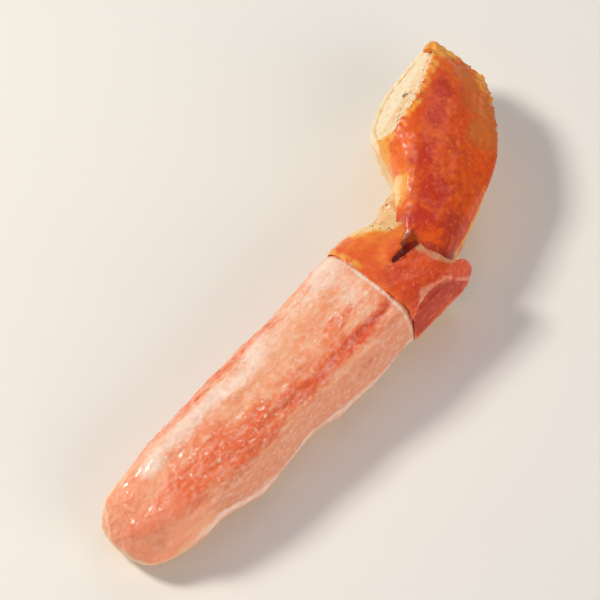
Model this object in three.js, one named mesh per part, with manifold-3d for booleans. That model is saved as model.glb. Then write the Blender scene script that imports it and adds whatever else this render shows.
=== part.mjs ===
// A cooked snow crab claw arm, prepared for the table: the meat of the long arm segment is peeled bare,
// a short band of its shell is left at the joint, and the wrist segment beyond keeps its whole shell.
// The pincer has been taken off the wrist, so its slanted socket shows the meat inside.
// It lies on its pale underside, the orange back of the shell up.
// Millimetres and degrees. Along the arm is +X, the wrist turns towards +Y, and +Z is up.

import * as THREE from "three";
import { mergeVertices } from "three/addons/utils/BufferGeometryUtils.js";
import Module from "manifold-3d";

const wasm = await Module();
wasm.setup();

// Driving dimensions
const ARM_LENGTH = 77.6; // free end of the meat to the pivot of the joint
const ARM_WIDTH = 20.4; // over the shell band
const ARM_HEIGHT = 16.6; // over the shell band
const BAND_START = 65; // where the shell was cut through
const WRIST_LENGTH = 38.6; // pivot to the pointed corner
const WRIST_HEIGHT = 16.4;
const WRIST_WIDTH = 23; // as if the socket were not there
const JOINT_BEND = 36; // the wrist turns this far to the left of the arm
const JOINT_OFFSET = 1.4; // the pivot lies a little left of the arm's middle
const SHELL_WALL = 0.9;
const GAP = 0.3; // between pieces that touch

// How finely the skins are divided
const AROUND_ARM = 32;
const AROUND_WRIST = 36;
const AROUND_BAND = 60;
const ARM_STEP = 2.6;
const WRIST_STEP = 1.9;
const INNER_STEP = 2.6;

const degrees = THREE.MathUtils.degToRad;
const clamp = THREE.MathUtils.clamp;
const bump = (distance, width) => Math.exp(-((distance / width) ** 2));

// Angles run round a section from its left side (0) over the back (90) to its right side (180).
const turnFrom = (angle, centre) => ((((angle - centre) % 360) + 540) % 360) - 180;

// A smooth value between the rows of a table, by the key of one column, at a place along it.
function between(rows, key, at) {
  const last = rows.length - 1;
  const place = clamp(at, rows[0].at, rows[last].at);
  let i = 0;
  while (i < last - 1 && place > rows[i + 1].at) i += 1;
  const slope = (k) => {
    const a = rows[Math.max(k - 1, 0)];
    const b = rows[Math.min(k + 1, last)];
    return (b[key] - a[key]) / (b.at - a.at);
  };
  const [a, b] = [rows[i], rows[i + 1]];
  const span = b.at - a.at;
  const t = (place - a.at) / span;
  const start = (1 + 2 * t) * (1 - t) ** 2 * a[key] + t * (1 - t) ** 2 * span * slope(i);
  const end = t * t * (3 - 2 * t) * b[key] + t * t * (t - 1) * span * slope(i + 1);
  return start + end;
}

// Evenly spaced places, by their count of spaces or by the widest space allowed.
const spaced = (start, end, count) =>
  Array.from({ length: count + 1 }, (_, i) => start + ((end - start) * i) / count);
const placesAlong = (start, end, step) => spaced(start, end, Math.ceil((end - start) / step));

// A point of a section whose four quarters reach left, right, up and down by their own amounts.
function quarterPoint(angle, { left, right, up, down }, fullness) {
  const c = Math.cos(degrees(angle));
  const s = Math.sin(degrees(angle));
  const side = Math.sign(c) * Math.abs(c) ** fullness * (c > 0 ? left : right);
  const height = Math.sign(s) * Math.abs(s) ** fullness * (s > 0 ? up : down);
  return [side, height];
}

// A closed skin through rings of points, its two ends drawn in to their middles.
function skin(rings) {
  const around = rings[0].length;
  const middles = [rings[0], rings.at(-1)].map((ring) =>
    ring.reduce((sum, p) => sum.add(p), new THREE.Vector3()).divideScalar(around),
  );
  const points = [...rings.flat(), ...middles];
  const index = [];
  const [foot, head] = [points.length - 2, points.length - 1];
  const lastRing = (rings.length - 1) * around;
  for (let j = 0; j < around; j += 1) {
    const k = (j + 1) % around;
    for (let i = 0; i < rings.length - 1; i += 1) {
      const [a, b] = [i * around + j, i * around + k];
      const [c, d] = [a + around, b + around];
      index.push(a, b, d, a, d, c);
    }
    index.push(foot, k, j, head, lastRing + j, lastRing + k);
  }
  return shape(points, index);
}

// A closed skin round a ring-shaped wall: each slice is the wall's own outline at one angle.
function wallSkin(slices) {
  const across = slices[0].length;
  const index = [];
  slices.forEach((_, j) => {
    const k = (j + 1) % slices.length;
    for (let i = 0; i < across; i += 1) {
      const n = (i + 1) % across;
      const [a, b, c, d] = [j * across + i, j * across + n, k * across + i, k * across + n];
      index.push(a, b, d, a, d, c);
    }
  });
  return shape(slices.flat(), index);
}

function shape(points, index) {
  const geometry = new THREE.BufferGeometry().setFromPoints(points);
  geometry.setIndex(index);
  return geometry;
}

// A closed geometry as a solid to cut and join, turned the right way out.
function solid(geometry) {
  const bare = geometry.clone();
  bare.deleteAttribute("normal");
  bare.deleteAttribute("uv");
  const merged = mergeVertices(bare, 1e-4);
  const vertProperties = new Float32Array(merged.attributes.position.array);
  const triVerts = new Uint32Array(merged.index.array);
  const made = new wasm.Manifold(new wasm.Mesh({ numProp: 3, vertProperties, triVerts }));
  if (made.volume() > 0) return made;
  for (let i = 0; i < triVerts.length; i += 3) {
    [triVerts[i + 1], triVerts[i + 2]] = [triVerts[i + 2], triVerts[i + 1]];
  }
  return new wasm.Manifold(new wasm.Mesh({ numProp: 3, vertProperties, triVerts }));
}

function geometryOf(made) {
  const mesh = made.getMesh();
  const geometry = new THREE.BufferGeometry();
  geometry.setAttribute("position", new THREE.BufferAttribute(mesh.vertProperties, 3));
  geometry.setIndex(new THREE.BufferAttribute(mesh.triVerts, 1));
  geometry.computeVertexNormals();
  return geometry;
}

// ---- The arm: sizes of the meat along it, from the free end to inside the joint ----

const SKIN_OVER_MEAT = SHELL_WALL + GAP;
const MEAT_SIDE = ARM_WIDTH / 2 - SKIN_OVER_MEAT; // half width where the band holds it
const MEAT_TOP = ARM_HEIGHT - SKIN_OVER_MEAT;
const MEAT_HEIGHT = MEAT_TOP - SKIN_OVER_MEAT;
const MEAT_END = BAND_START + 9;

// at: along the arm; side: half the width; low: the underside; high: the back; shift: sideways
const ARM_SIZES = [
  { at: 0, side: 0.62 * MEAT_SIDE, low: 2.6, high: 0.74 * MEAT_HEIGHT, shift: 2.4 },
  { at: 4, side: 0.8 * MEAT_SIDE, low: 0.6, high: 0.86 * MEAT_HEIGHT, shift: 2.1 },
  { at: 12, side: 0.91 * MEAT_SIDE, low: -0.3, high: 0.94 * MEAT_HEIGHT, shift: 1.6 },
  { at: 26, side: 1.0 * MEAT_SIDE, low: -0.4, high: 1.0 * MEAT_HEIGHT, shift: 0.8 },
  { at: 42, side: 1.04 * MEAT_SIDE, low: -0.4, high: 1.05 * MEAT_HEIGHT, shift: 0.2 },
  { at: 56, side: 1.09 * MEAT_SIDE, low: -0.2, high: 1.11 * MEAT_HEIGHT, shift: 0 },
  { at: BAND_START - 2, side: 1.1 * MEAT_SIDE, low: 0.3, high: MEAT_TOP + 0.9, shift: 0 },
  { at: BAND_START - 0.5, side: MEAT_SIDE + 0.1, low: 1.1, high: MEAT_TOP + 0.1, shift: 0 },
  { at: BAND_START + 0.6, side: MEAT_SIDE, low: SKIN_OVER_MEAT, high: MEAT_TOP, shift: 0 },
  { at: ARM_LENGTH, side: MEAT_SIDE, low: SKIN_OVER_MEAT, high: MEAT_TOP - 0.3, shift: 0 },
];
const HELD_FROM = BAND_START + 0.6; // from here on the sizes are those inside the shell
const ARM_FULLNESS = 0.82;
const ARM_RIDGE = { angle: 138, width: 24, height: 0.55 }; // soft edge between back and right side
const ARM_FLANK = { angle: 178, width: 26, depth: 0.45 }; // the flatter right side under it

function armPoint(at, angle, grow) {
  const size = (key) => between(ARM_SIZES, key, at);
  const [low, high, side] = [size("low"), size("high"), size("side")];
  const half = (high - low) / 2;
  const reach = { left: side + grow, right: side + grow, up: half + grow, down: half + grow };
  const [across, height] = quarterPoint(angle, reach, ARM_FULLNESS);
  const edge =
    ARM_RIDGE.height * bump(turnFrom(angle, ARM_RIDGE.angle), ARM_RIDGE.width) -
    ARM_FLANK.depth * bump(turnFrom(angle, ARM_FLANK.angle), ARM_FLANK.width);
  const out = 1 + edge / Math.hypot(across, height);
  return new THREE.Vector3(at, size("shift") + across * out, low + half + height * out);
}

// Shallow furrows between the bundles of fibres, and soft lumps, on the peeled stretch only.
const FURROWS = { count: 7, depth: 0.2, twist: 2.4 };
const LUMPS = [
  { length: 41, turns: 1, depth: 0.26, start: 0.6 },
  { length: 23, turns: -2, depth: 0.2, start: 2.2 },
  { length: 12.5, turns: 3, depth: 0.13, start: 4.1 },
];

const PRESSED = { angle: 270, width: 50, share: 0.85 }; // the underside is pressed flat

function meatRelief(at, angle) {
  const peeled = clamp((BAND_START - 2 - at) / 5, 0, 1) * clamp(at / 5, 0, 1);
  const free = 1 - PRESSED.share * bump(turnFrom(angle, PRESSED.angle), PRESSED.width);
  const furrow = Math.cos(degrees(FURROWS.count * angle) + (FURROWS.twist * at) / ARM_LENGTH);
  const waves = LUMPS.map((lump) => {
    const phase = (2 * Math.PI * at) / lump.length + degrees(lump.turns * angle) + lump.start;
    return lump.depth * Math.sin(phase);
  });
  return peeled * free * waves.reduce((sum, wave) => sum + wave, FURROWS.depth * furrow);
}

// One ring of the meat. The end sections draw in to a blunt, slightly slanted end.
const BLUNT_END = { rounding: 3, flat: 0.35, slant: 7, slantReach: 14 };
const SLIM_IN_JOINT = 1.1; // the meat leaves room for the soft skin round it

function meatRing(at, grow = 0) {
  const fromEnd = Math.min(at, MEAT_END + grow - at) / BLUNT_END.rounding;
  const drawn = fromEnd < 1 ? Math.max(BLUNT_END.flat, Math.sqrt(1 - (1 - fromEnd) ** 2)) : 1;
  const slim = SLIM_IN_JOINT * clamp((at - HELD_FROM) / 1.5, 0, 1);
  const lean = Math.tan(degrees(BLUNT_END.slant)) * clamp(1 - at / BLUNT_END.slantReach, 0, 1);
  const middle = armPoint(at, 0, 0).add(armPoint(at, 180, 0)).multiplyScalar(0.5);
  return Array.from({ length: AROUND_ARM }, (_, j) => {
    const angle = (360 * j) / AROUND_ARM;
    const p = armPoint(at, angle, (grow || meatRelief(at, angle)) - slim);
    p.y = middle.y + (p.y - middle.y) * drawn;
    p.z = Math.max(middle.z + (p.z - middle.z) * drawn, 0);
    p.x += (p.y - middle.y) * lean;
    return p;
  });
}

function armMeat() {
  const places = [
    ...[0, 0.35, 1.1],
    ...placesAlong(2.2, BAND_START - 2, ARM_STEP),
    BAND_START - 0.5,
    ...placesAlong(HELD_FROM, MEAT_END, ARM_STEP),
  ];
  return solid(skin(places.map((at) => meatRing(at)))).subtract(neckBody(GAP));
}

// ---- The shell band: cut square behind, notched round the joint in front ----

// Where the band ends, by angle: short on the left where soft skin bridges the bend, a lobe on
// the back over the hinge point with a split beside it, long on the right, short underneath.
const BAND_REACH = [
  { at: -90, to: 9.5 },
  { at: -35, to: 5.5 },
  { at: 12, to: 3.6 },
  { at: 50, to: 6.6 },
  { at: 82, to: 10.6 },
  { at: 112, to: 10.6 },
  { at: 150, to: 12.2 },
  { at: 178, to: 14 },
  { at: 215, to: 12.6 },
  { at: 270, to: 9.5 },
];
const BAND_SPLIT = { angle: 96, width: 6, depth: 5 };
const BAND_CUT_WAVER = 0.2;
const BAND_BEADS = { count: 12, height: 0.25 };
const BAND_STEPS = 3;

function bandReach(angle) {
  const whole = turnFrom(angle, 90) + 90;
  const beads = BAND_BEADS.height * Math.cos(degrees(BAND_BEADS.count * angle));
  const split = BAND_SPLIT.depth * bump(turnFrom(angle, BAND_SPLIT.angle), BAND_SPLIT.width);
  return BAND_START + between(BAND_REACH, "to", whole) - split + beads;
}

// A point of the band, which keeps one section all along.
function bandPoint(at, angle, grow) {
  const point = armPoint(Math.max(at, HELD_FROM), angle, grow);
  point.x = at;
  return point;
}

// The outline of its wall at each angle, or of the room round it.
function bandWall(inner, outer, extra = 0) {
  const angles = Array.from({ length: AROUND_BAND }, (_, j) => (360 * j) / AROUND_BAND);
  return angles.map((angle) => {
    const back = BAND_START + BAND_CUT_WAVER * Math.sin(degrees(3 * angle)) - extra;
    const front = bandReach(angle) + extra;
    const places = spaced(back, front, BAND_STEPS);
    const outside = places.map((at) => bandPoint(at, angle, outer));
    const inside = places.map((at) => bandPoint(at, angle, inner)).reverse();
    return [...outside, ...inside];
  });
}

function armShellBand() {
  return solid(wallSkin(bandWall(GAP, SKIN_OVER_MEAT)));
}

// ---- The wrist: sizes along its own axis, from inside the joint to the pointed corner ----

const WRIST_HALF = WRIST_WIDTH / 2;

// at: along the wrist; left, right: to each side; low, high: as for the arm
const WRIST_SIZES = [
  { at: -5, left: 0.4 * WRIST_HALF, right: 0.44 * WRIST_HALF, low: 4.2, high: 12.6 },
  { at: -1, left: 0.42 * WRIST_HALF, right: 0.64 * WRIST_HALF, low: 2.6, high: 14.6 },
  { at: 4, left: 0.42 * WRIST_HALF, right: 0.8 * WRIST_HALF, low: 1.5, high: 15.5 },
  { at: 8.5, left: 0.41 * WRIST_HALF, right: 0.9 * WRIST_HALF, low: 0.7, high: 16.1 },
  { at: 12, left: 0.45 * WRIST_HALF, right: 0.98 * WRIST_HALF, low: 0.1, high: 16.3 },
  { at: 16, left: 0.64 * WRIST_HALF, right: 1.02 * WRIST_HALF, low: -0.3, high: WRIST_HEIGHT },
  { at: 20, left: 0.75 * WRIST_HALF, right: 1.01 * WRIST_HALF, low: -0.3, high: WRIST_HEIGHT },
  { at: 26, left: 0.77 * WRIST_HALF, right: 0.94 * WRIST_HALF, low: 0.1, high: 16.0 },
  { at: 32, left: 0.64 * WRIST_HALF, right: 0.79 * WRIST_HALF, low: 1.8, high: 15.2 },
  { at: 36, left: 0.42 * WRIST_HALF, right: 0.45 * WRIST_HALF, low: 4.8, high: 14.3 },
  { at: 39.6, left: 0.06 * WRIST_HALF, right: 0.05 * WRIST_HALF, low: 11, high: 13.3 },
];
const WRIST_START = WRIST_SIZES[0].at;
const WRIST_END = WRIST_LENGTH + 1;
const WRIST_FULLNESS = 0.9;
const WIDEST_HEIGHT = { left: 0.66, right: 0.56 }; // share of the height where a side is widest
const OUTER_KEEL = { angle: 170, width: 9, height: 0.9 }; // the sharp outer edge of the back
const OUTER_TROUGH = { angle: 146, width: 14, depth: 0.75 }; // the hollow beside it
const BACK_SWELL = { angle: 92, width: 22, height: 0.35 };

function wristPoint(at, angle, grow) {
  const size = (key) => between(WRIST_SIZES, key, at);
  const [low, high] = [size("low"), size("high")];
  const side = Math.cos(degrees(angle)) > 0 ? "left" : "right";
  const widest = low + WIDEST_HEIGHT[side] * (high - low);
  const least = 0.15;
  const reach = {
    left: Math.max(size("left") + grow, least),
    right: Math.max(size("right") + grow, least),
    up: Math.max(high - widest + grow, least),
    down: Math.max(widest - low + grow, least),
  };
  const [across, height] = quarterPoint(angle, reach, WRIST_FULLNESS);
  const grown = clamp((at - 3) / 9, 0, 1) * clamp((WRIST_END - at) / 5, 0, 1);
  const edge =
    OUTER_KEEL.height * bump(turnFrom(angle, OUTER_KEEL.angle), OUTER_KEEL.width) -
    OUTER_TROUGH.depth * bump(turnFrom(angle, OUTER_TROUGH.angle), OUTER_TROUGH.width) +
    BACK_SWELL.height * bump(turnFrom(angle, BACK_SWELL.angle), BACK_SWELL.width);
  const out = 1 + (grown * edge) / Math.hypot(across, height);
  return new THREE.Vector3(at, across * out, widest + height * out);
}

function wristRing(at, grow) {
  return Array.from({ length: AROUND_WRIST }, (_, j) =>
    wristPoint(at, (360 * j) / AROUND_WRIST, grow),
  );
}

// Out of the wrist's own frame, where X runs along it from the pivot, into the arm's.
const WRIST_PLACE = new THREE.Matrix4()
  .makeTranslation(ARM_LENGTH, JOINT_OFFSET, 0)
  .multiply(new THREE.Matrix4().makeRotationZ(degrees(JOINT_BEND)));

const placed = (geometry) => geometry.clone().applyMatrix4(WRIST_PLACE);

// The socket's plane faces out to the left and a little up. It passes through the inner corner
// of the back and the pointed corner.
const INNER_CORNER = new THREE.Vector3(15.6, 8.2, 12);
const POINTED_CORNER = new THREE.Vector3(WRIST_LENGTH - 0.6, -0.5, 13);
const SOCKET_TILT = 38;
const rimLine = POINTED_CORNER.clone().sub(INNER_CORNER).setZ(0).normalize();
const SOCKET_NORMAL = new THREE.Vector3(-rimLine.y, rimLine.x, 0)
  .multiplyScalar(Math.cos(degrees(SOCKET_TILT)))
  .setZ(Math.sin(degrees(SOCKET_TILT)));

const CUTTER = 120; // a block larger than the wrist

const outOfSocket = (point) => point.clone().sub(INNER_CORNER).dot(SOCKET_NORMAL);

// Everything beyond the socket's plane, moved in or out by an offset.
function beyondSocket(offset) {
  const block = new THREE.BoxGeometry(CUTTER, CUTTER, CUTTER);
  const turn = new THREE.Quaternion().setFromUnitVectors(new THREE.Vector3(0, 0, 1), SOCKET_NORMAL);
  const middle = INNER_CORNER.clone().addScaledVector(SOCKET_NORMAL, CUTTER / 2 + offset);
  block.applyQuaternion(turn).translate(middle.x, middle.y, middle.z);
  return solid(block);
}

function belowTable() {
  return solid(new THREE.BoxGeometry(CUTTER, CUTTER, CUTTER).translate(0, 0, -CUTTER / 2));
}

const HOLLOW_END = WRIST_LENGTH - 3.2; // beyond this the pointed corner is solid shell

// The wrist's outer form, whole, and its hollow, which runs out past the neck.
function wristBody(grow, start = WRIST_START, end = WRIST_END, step = WRIST_STEP) {
  const places = placesAlong(start, end, step);
  return solid(skin(places.map((at) => wristRing(at, grow))));
}

// The part of the wrist inside and near the joint, in the arm's frame.
const NECK_END = 16;

function neckBody(grow) {
  return solid(placed(geometryOf(wristBody(grow, WRIST_START - grow, NECK_END, INNER_STEP))));
}

// ---- The little teeth on the wrist's edges ----

const TOOTH = { height: 0.9, radius: 0.62, sides: 5, sunk: 0.45 };
const KEEL_TEETH = { from: 11, to: 37, spacing: 1.45 };
const RIM_TEETH = { from: 15.5, to: 36, spacing: 1.6, inward: 5 };
const CORNER_SPINE = { height: 2.0, radius: 1.5, sides: 8 };

function tooth(foot, outward, scale, form = TOOTH) {
  const cone = new THREE.ConeGeometry(form.radius * scale, form.height * scale + TOOTH.sunk, form.sides);
  cone.translate(0, (form.height * scale + TOOTH.sunk) / 2 - TOOTH.sunk, 0);
  const turn = new THREE.Quaternion().setFromUnitVectors(new THREE.Vector3(0, 1, 0), outward);
  cone.applyQuaternion(turn).translate(foot.x, foot.y, foot.z);
  return solid(cone);
}

// The angle at which the wrist's back meets the socket's plane, found by halving.
function rimAngle(at) {
  let [low, high] = [10, 140];
  for (let i = 0; i < 30; i += 1) {
    const middle = (low + high) / 2;
    if (outOfSocket(wristPoint(at, middle, 0)) > 0) low = middle;
    else high = middle;
  }
  return high;
}

// The way that the wrist's surface faces.
function outwardAt(at, angle) {
  const along = wristPoint(at + 0.5, angle, 0).sub(wristPoint(at - 0.5, angle, 0));
  const round = wristPoint(at, angle + 3, 0).sub(wristPoint(at, angle - 3, 0));
  return round.cross(along).normalize().negate();
}

function teethAlong({ from, to, spacing }, angleAt) {
  return placesAlong(from, to, spacing).map((at, i) => {
    const angle = angleAt(at);
    const scale = 0.75 + 0.35 * Math.abs(Math.sin(2.4 * i)); // uneven, as grown
    return tooth(wristPoint(at, angle, 0), outwardAt(at, angle), scale);
  });
}

function cornerSpine() {
  const foot = POINTED_CORNER.clone().add(new THREE.Vector3(-0.6, 0, -0.3));
  return tooth(foot, new THREE.Vector3(1, 0.12, 0.12).normalize(), 1, CORNER_SPINE);
}

function wristShell() {
  let made = wristBody(0).add(cornerSpine());
  const teeth = [
    ...teethAlong(KEEL_TEETH, () => OUTER_KEEL.angle),
    ...teethAlong(RIM_TEETH, (at) => rimAngle(at) + RIM_TEETH.inward),
  ];
  teeth.forEach((one) => {
    made = made.add(one);
  });
  const hollow = wristBody(-SHELL_WALL, WRIST_START - 2, HOLLOW_END, INNER_STEP);
  return made.subtract(beyondSocket(0)).subtract(hollow).subtract(belowTable());
}

// The wrist's meat fills the hollow and stands just short of the socket's rim.
const SOCKET_MEAT_INSET = 0.7;

function wristMeat() {
  const full = wristBody(-SHELL_WALL - GAP, WRIST_START + 1.5, HOLLOW_END - GAP, INNER_STEP);
  return full.subtract(beyondSocket(-SOCKET_MEAT_INSET));
}

// ---- The soft skin of the joint: a sleeve that bends from the arm to the wrist's neck ----

// It fills the mouth of the band. Over the back and the right side, where the shells nearly meet,
// it then dips under the wrist's shell. In the bend on the left it is a wrinkled bridge.
const SLEEVE_START = BAND_START + 2.6;
const SLEEVE_END = 5.4; // along the wrist
const SLEEVE_OVER_NECK = { least: -1.4, rise: 3.2, angle: -8, width: 58 };
const SLEEVE_DIP = { from: 0.43, back: 0.72, bend: 1 }; // shares of its length
const SLEEVE_TURN = { from: 0.15, middleFrom: 0.3, middleTo: 0.95 };
const SLEEVE_FOLDS = { count: 3, depth: 0.5 };
const SLEEVE_UNDER_BAND = -0.06;
const SLEEVE_ABOVE_TABLE = 0.4;
const SLEEVE_SLICES = 12;
const ROOM_ROUND_BAND = 4;

function sleeveRing(share) {
  const { lerp, smoothstep } = THREE.MathUtils;
  const bend = degrees(JOINT_BEND) * smoothstep(share, SLEEVE_TURN.from, 1);
  const alongWrist = lerp(WRIST_START - 1, SLEEVE_END, share);
  const onArm = new THREE.Vector3(lerp(SLEEVE_START, ARM_LENGTH + 2, share), 0, 0);
  const onWrist = new THREE.Vector3(alongWrist, 0, 0).applyMatrix4(WRIST_PLACE);
  const turned = smoothstep(share, SLEEVE_TURN.middleFrom, SLEEVE_TURN.middleTo);
  const middle = onArm.clone().lerp(onWrist, turned);
  const folds = SLEEVE_FOLDS.depth * share * Math.sin(Math.PI * SLEEVE_FOLDS.count * share) ** 2;
  const aside = new THREE.Vector3(-Math.sin(bend), Math.cos(bend), 0);
  return Array.from({ length: AROUND_ARM }, (_, j) => {
    const angle = (360 * j) / AROUND_ARM;
    const shows = bump(turnFrom(angle, SLEEVE_OVER_NECK.angle), SLEEVE_OVER_NECK.width);
    const over = SLEEVE_OVER_NECK.least + SLEEVE_OVER_NECK.rise * shows;
    const dipEnd = lerp(SLEEVE_DIP.back, SLEEVE_DIP.bend, shows);
    const dipped = smoothstep(share, SLEEVE_DIP.from, dipEnd);
    const arm = bandPoint(onArm.x, angle, SLEEVE_UNDER_BAND);
    const neck = wristPoint(Math.max(alongWrist, WRIST_START), angle, over);
    const across = lerp(arm.y, neck.y, dipped) - folds * Math.cos(degrees(angle));
    const height = lerp(arm.z, neck.z, dipped) - folds * Math.sin(degrees(angle));
    const place = middle.clone().addScaledVector(aside, across);
    return place.setZ(Math.max(height, SLEEVE_ABOVE_TABLE));
  });
}

function jointSkin() {
  const rings = spaced(0, 1, SLEEVE_SLICES).map(sleeveRing);
  const bandRoom = solid(wallSkin(bandWall(0, SKIN_OVER_MEAT + ROOM_ROUND_BAND, GAP)));
  const meatPlaces = placesAlong(SLEEVE_START - 3, MEAT_END + GAP, INNER_STEP);
  const meatRoom = solid(skin(meatPlaces.map((at) => meatRing(at, GAP))));
  const sleeve = solid(skin(rings));
  return largest(sleeve.subtract(bandRoom).subtract(meatRoom).subtract(neckBody(GAP)));
}

// A solid without the loose scraps that a cut may leave.
function largest(made) {
  return made.decompose().reduce((best, one) => (one.volume() > best.volume() ? one : best));
}

// ---- The finished arm ----

const FINISHES = {
  peeled_meat: { color: 0xee9a76, roughness: 0.42, metalness: 0 },
  orange_shell: { color: 0xd9541f, roughness: 0.35, metalness: 0 },
  soft_skin: { color: 0xf2d3a0, roughness: 0.5, metalness: 0 },
  socket_meat: { color: 0xf4cdb2, roughness: 0.45, metalness: 0 },
};

function piece(name, made, finish) {
  const mesh = new THREE.Mesh(geometryOf(made), new THREE.MeshStandardMaterial(FINISHES[finish]));
  mesh.name = name;
  return mesh;
}

const wrist = new THREE.Group();
wrist.applyMatrix4(WRIST_PLACE);
wrist.add(
  piece("wrist_shell", wristShell(), "orange_shell"),
  piece("wrist_meat", wristMeat(), "socket_meat"),
);

const clawArm = new THREE.Group();
clawArm.add(
  piece("arm_meat", armMeat(), "peeled_meat"),
  piece("arm_shell_band", armShellBand(), "orange_shell"),
  piece("joint_skin", jointSkin(), "soft_skin"),
  wrist,
);

// The origin is under the middle of the whole, on the table.
const bounds = new THREE.Box3().setFromObject(clawArm, true);
const centre = bounds.getCenter(new THREE.Vector3());
clawArm.position.set(-centre.x, -centre.y, -bounds.min.z);

export default clawArm;
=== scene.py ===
"""A cooked snow crab claw arm, prepared for the table.

The long arm segment is peeled to its meat, a band of orange shell is left at the joint, and the
bent wrist segment keeps its shell, with the meat showing in its slanted socket. The scene is in
metres, +X along the arm from its free end, the wrist bends towards +Y, +Z up out of the orange
back. The classes hold millimetres and degrees. Round the arm and the wrist an angle is 0 on the
left, 90 on the back, 180 on the right and 270 below.
"""

import logging
import math
from dataclasses import dataclass, field, replace
from enum import Enum
from typing import Callable, Sequence

import bmesh
import bpy
import numpy as np
from mathutils import Matrix, Vector


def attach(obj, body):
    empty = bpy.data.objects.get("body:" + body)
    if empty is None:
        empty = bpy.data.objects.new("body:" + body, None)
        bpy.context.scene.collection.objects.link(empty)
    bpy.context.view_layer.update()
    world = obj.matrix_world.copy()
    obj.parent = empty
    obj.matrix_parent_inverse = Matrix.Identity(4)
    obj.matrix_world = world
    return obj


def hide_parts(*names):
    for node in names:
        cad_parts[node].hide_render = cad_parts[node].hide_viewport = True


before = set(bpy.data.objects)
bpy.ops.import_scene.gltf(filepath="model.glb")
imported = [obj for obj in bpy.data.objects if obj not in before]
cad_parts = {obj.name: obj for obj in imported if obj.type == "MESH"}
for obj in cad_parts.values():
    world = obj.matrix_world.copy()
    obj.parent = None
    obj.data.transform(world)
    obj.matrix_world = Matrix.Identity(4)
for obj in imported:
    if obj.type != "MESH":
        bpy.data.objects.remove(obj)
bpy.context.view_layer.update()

MM = 0.001
ROOT = "root"
FREE_END = Vector((-55.197, -8.061, 0.0)) * MM  # the arm's free end, under its middle line
PIVOT = Vector((77.6, 1.4, 0.0)) * MM  # the joint, from the free end
JOINT_BEND = 36.0  # how far the wrist turns to the left
BAND_START = 65.0  # where the shell was cut, from the free end
SHELL_WALL = 0.9
SKIN_OVER_MEAT = 1.2
FULLNESS = 0.82  # of a section: 1 is an ellipse, less is squarer
LEAST_HALF = 0.15  # the half width that a section keeps when it shrinks
EPSILON = 1e-6

Object = bpy.types.Object
Socket = bpy.types.NodeSocket
Points = np.ndarray
Shares = np.ndarray
Limits = tuple[float, float]
Tone = tuple[int, int, int]


# ---- Small sums ----


def bump(distance: Shares | float, width: Shares | float) -> Shares | float:
    """A soft hill: 1 at no distance, falling away over a width."""
    return np.exp(-((distance / width) ** 2))


def ease(value: Shares | float, low: Shares | float, high: Shares | float) -> Shares | float:
    """A smooth step from 0 at low to 1 at high, which may lie below low."""
    share = np.clip((value - low) / (high - low), 0.0, 1.0)
    return share * share * (3.0 - 2.0 * share)


def turn_from(angle: Shares | float, centre: Shares | float) -> Shares | float:
    """The shortest turn from a centre angle to each angle."""
    return (angle - centre + 180.0) % 360.0 - 180.0


def strip(angle: Shares, centre: Shares | float, width: Shares | float) -> Shares:
    """A lengthwise strip: 1 at its centre angle, falling away over a width."""
    return bump(turn_from(angle, centre), width)


def most(*shares: Shares) -> Shares:
    """The largest of several masks at each point."""
    return np.maximum.reduce(shares)


def waver(points: Points, size: float, seed: float) -> Shares:
    """A slow, even wandering from place to place, built of a few crossed waves.

    Args:
        points: places in millimetres.
        size: how far apart the wanderings lie.
        seed: shifts the pattern.

    Returns:
        Values from about -1 to 1.
    """
    total = np.zeros(len(points))
    for k in range(5):
        turns = (2.4 * k + seed, 1.7 * k + 2 * seed, 3.1 * k - seed)
        heading = np.array([math.cos(turns[0]), math.sin(turns[1]), math.cos(turns[2])])
        pace = (1.0 + 0.37 * k) * 2 * math.pi / size
        total += np.sin(points @ heading * pace + 5.1 * k + seed) / (1.0 + 0.3 * k)
    return total / 2.6


def linear(red: int, green: int, blue: int) -> tuple[float, float, float, float]:
    """A screen colour, 0 to 255, as the renderer wants it, with full alpha."""
    shares = (channel / 255.0 for channel in (red, green, blue))
    return (*(s / 12.92 if s <= 0.04045 else ((s + 0.055) / 1.055) ** 2.4 for s in shares), 1.0)


def way_out(angle: float) -> Vector:
    """The way out of a section at an angle."""
    return Vector((0.0, math.cos(math.radians(angle)), math.sin(math.radians(angle))))


# ---- Work at the bench: the steps that shape every piece ----


class Side(Enum):
    """The four quarters of a section, each with its way out."""

    LEFT = (0.0, 1.0, 0.0)
    RIGHT = (0.0, -1.0, 0.0)
    UP = (0.0, 0.0, 1.0)
    DOWN = (0.0, 0.0, -1.0)

    def faces(self, offset: Vector) -> bool:
        """Whether a place off the section's middle lies on this side."""
        return offset.dot(Vector(self.value)) > 1e-7

    def stretch(self, ratio: float) -> tuple[float, ...]:
        """The three scale factors that stretch this side's own direction."""
        return tuple(ratio if abs(way) > 0.5 else 1.0 for way in self.value)


def clear_selection() -> None:
    """Leaves nothing selected and no mesh open."""
    if bpy.context.mode != "OBJECT":
        bpy.ops.object.mode_set(mode="OBJECT")
    bpy.ops.object.select_all(action="DESELECT")


def work_on(piece: Object) -> None:
    """Makes one object the only selected and the active one.

    Args:
        piece: the object.
    """
    clear_selection()
    piece.select_set(True)
    bpy.context.view_layer.objects.active = piece


def open_mesh(piece: Object) -> None:
    """Opens a mesh to edit its points, with all of them selected.

    Args:
        piece: the mesh's object.
    """
    work_on(piece)
    bpy.ops.object.mode_set(mode="EDIT")
    bpy.ops.mesh.select_mode(type="VERT")
    bpy.ops.mesh.select_all(action="SELECT")


def close_mesh() -> None:
    """Ends the editing of a mesh."""
    bpy.ops.object.mode_set(mode="OBJECT")


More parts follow.
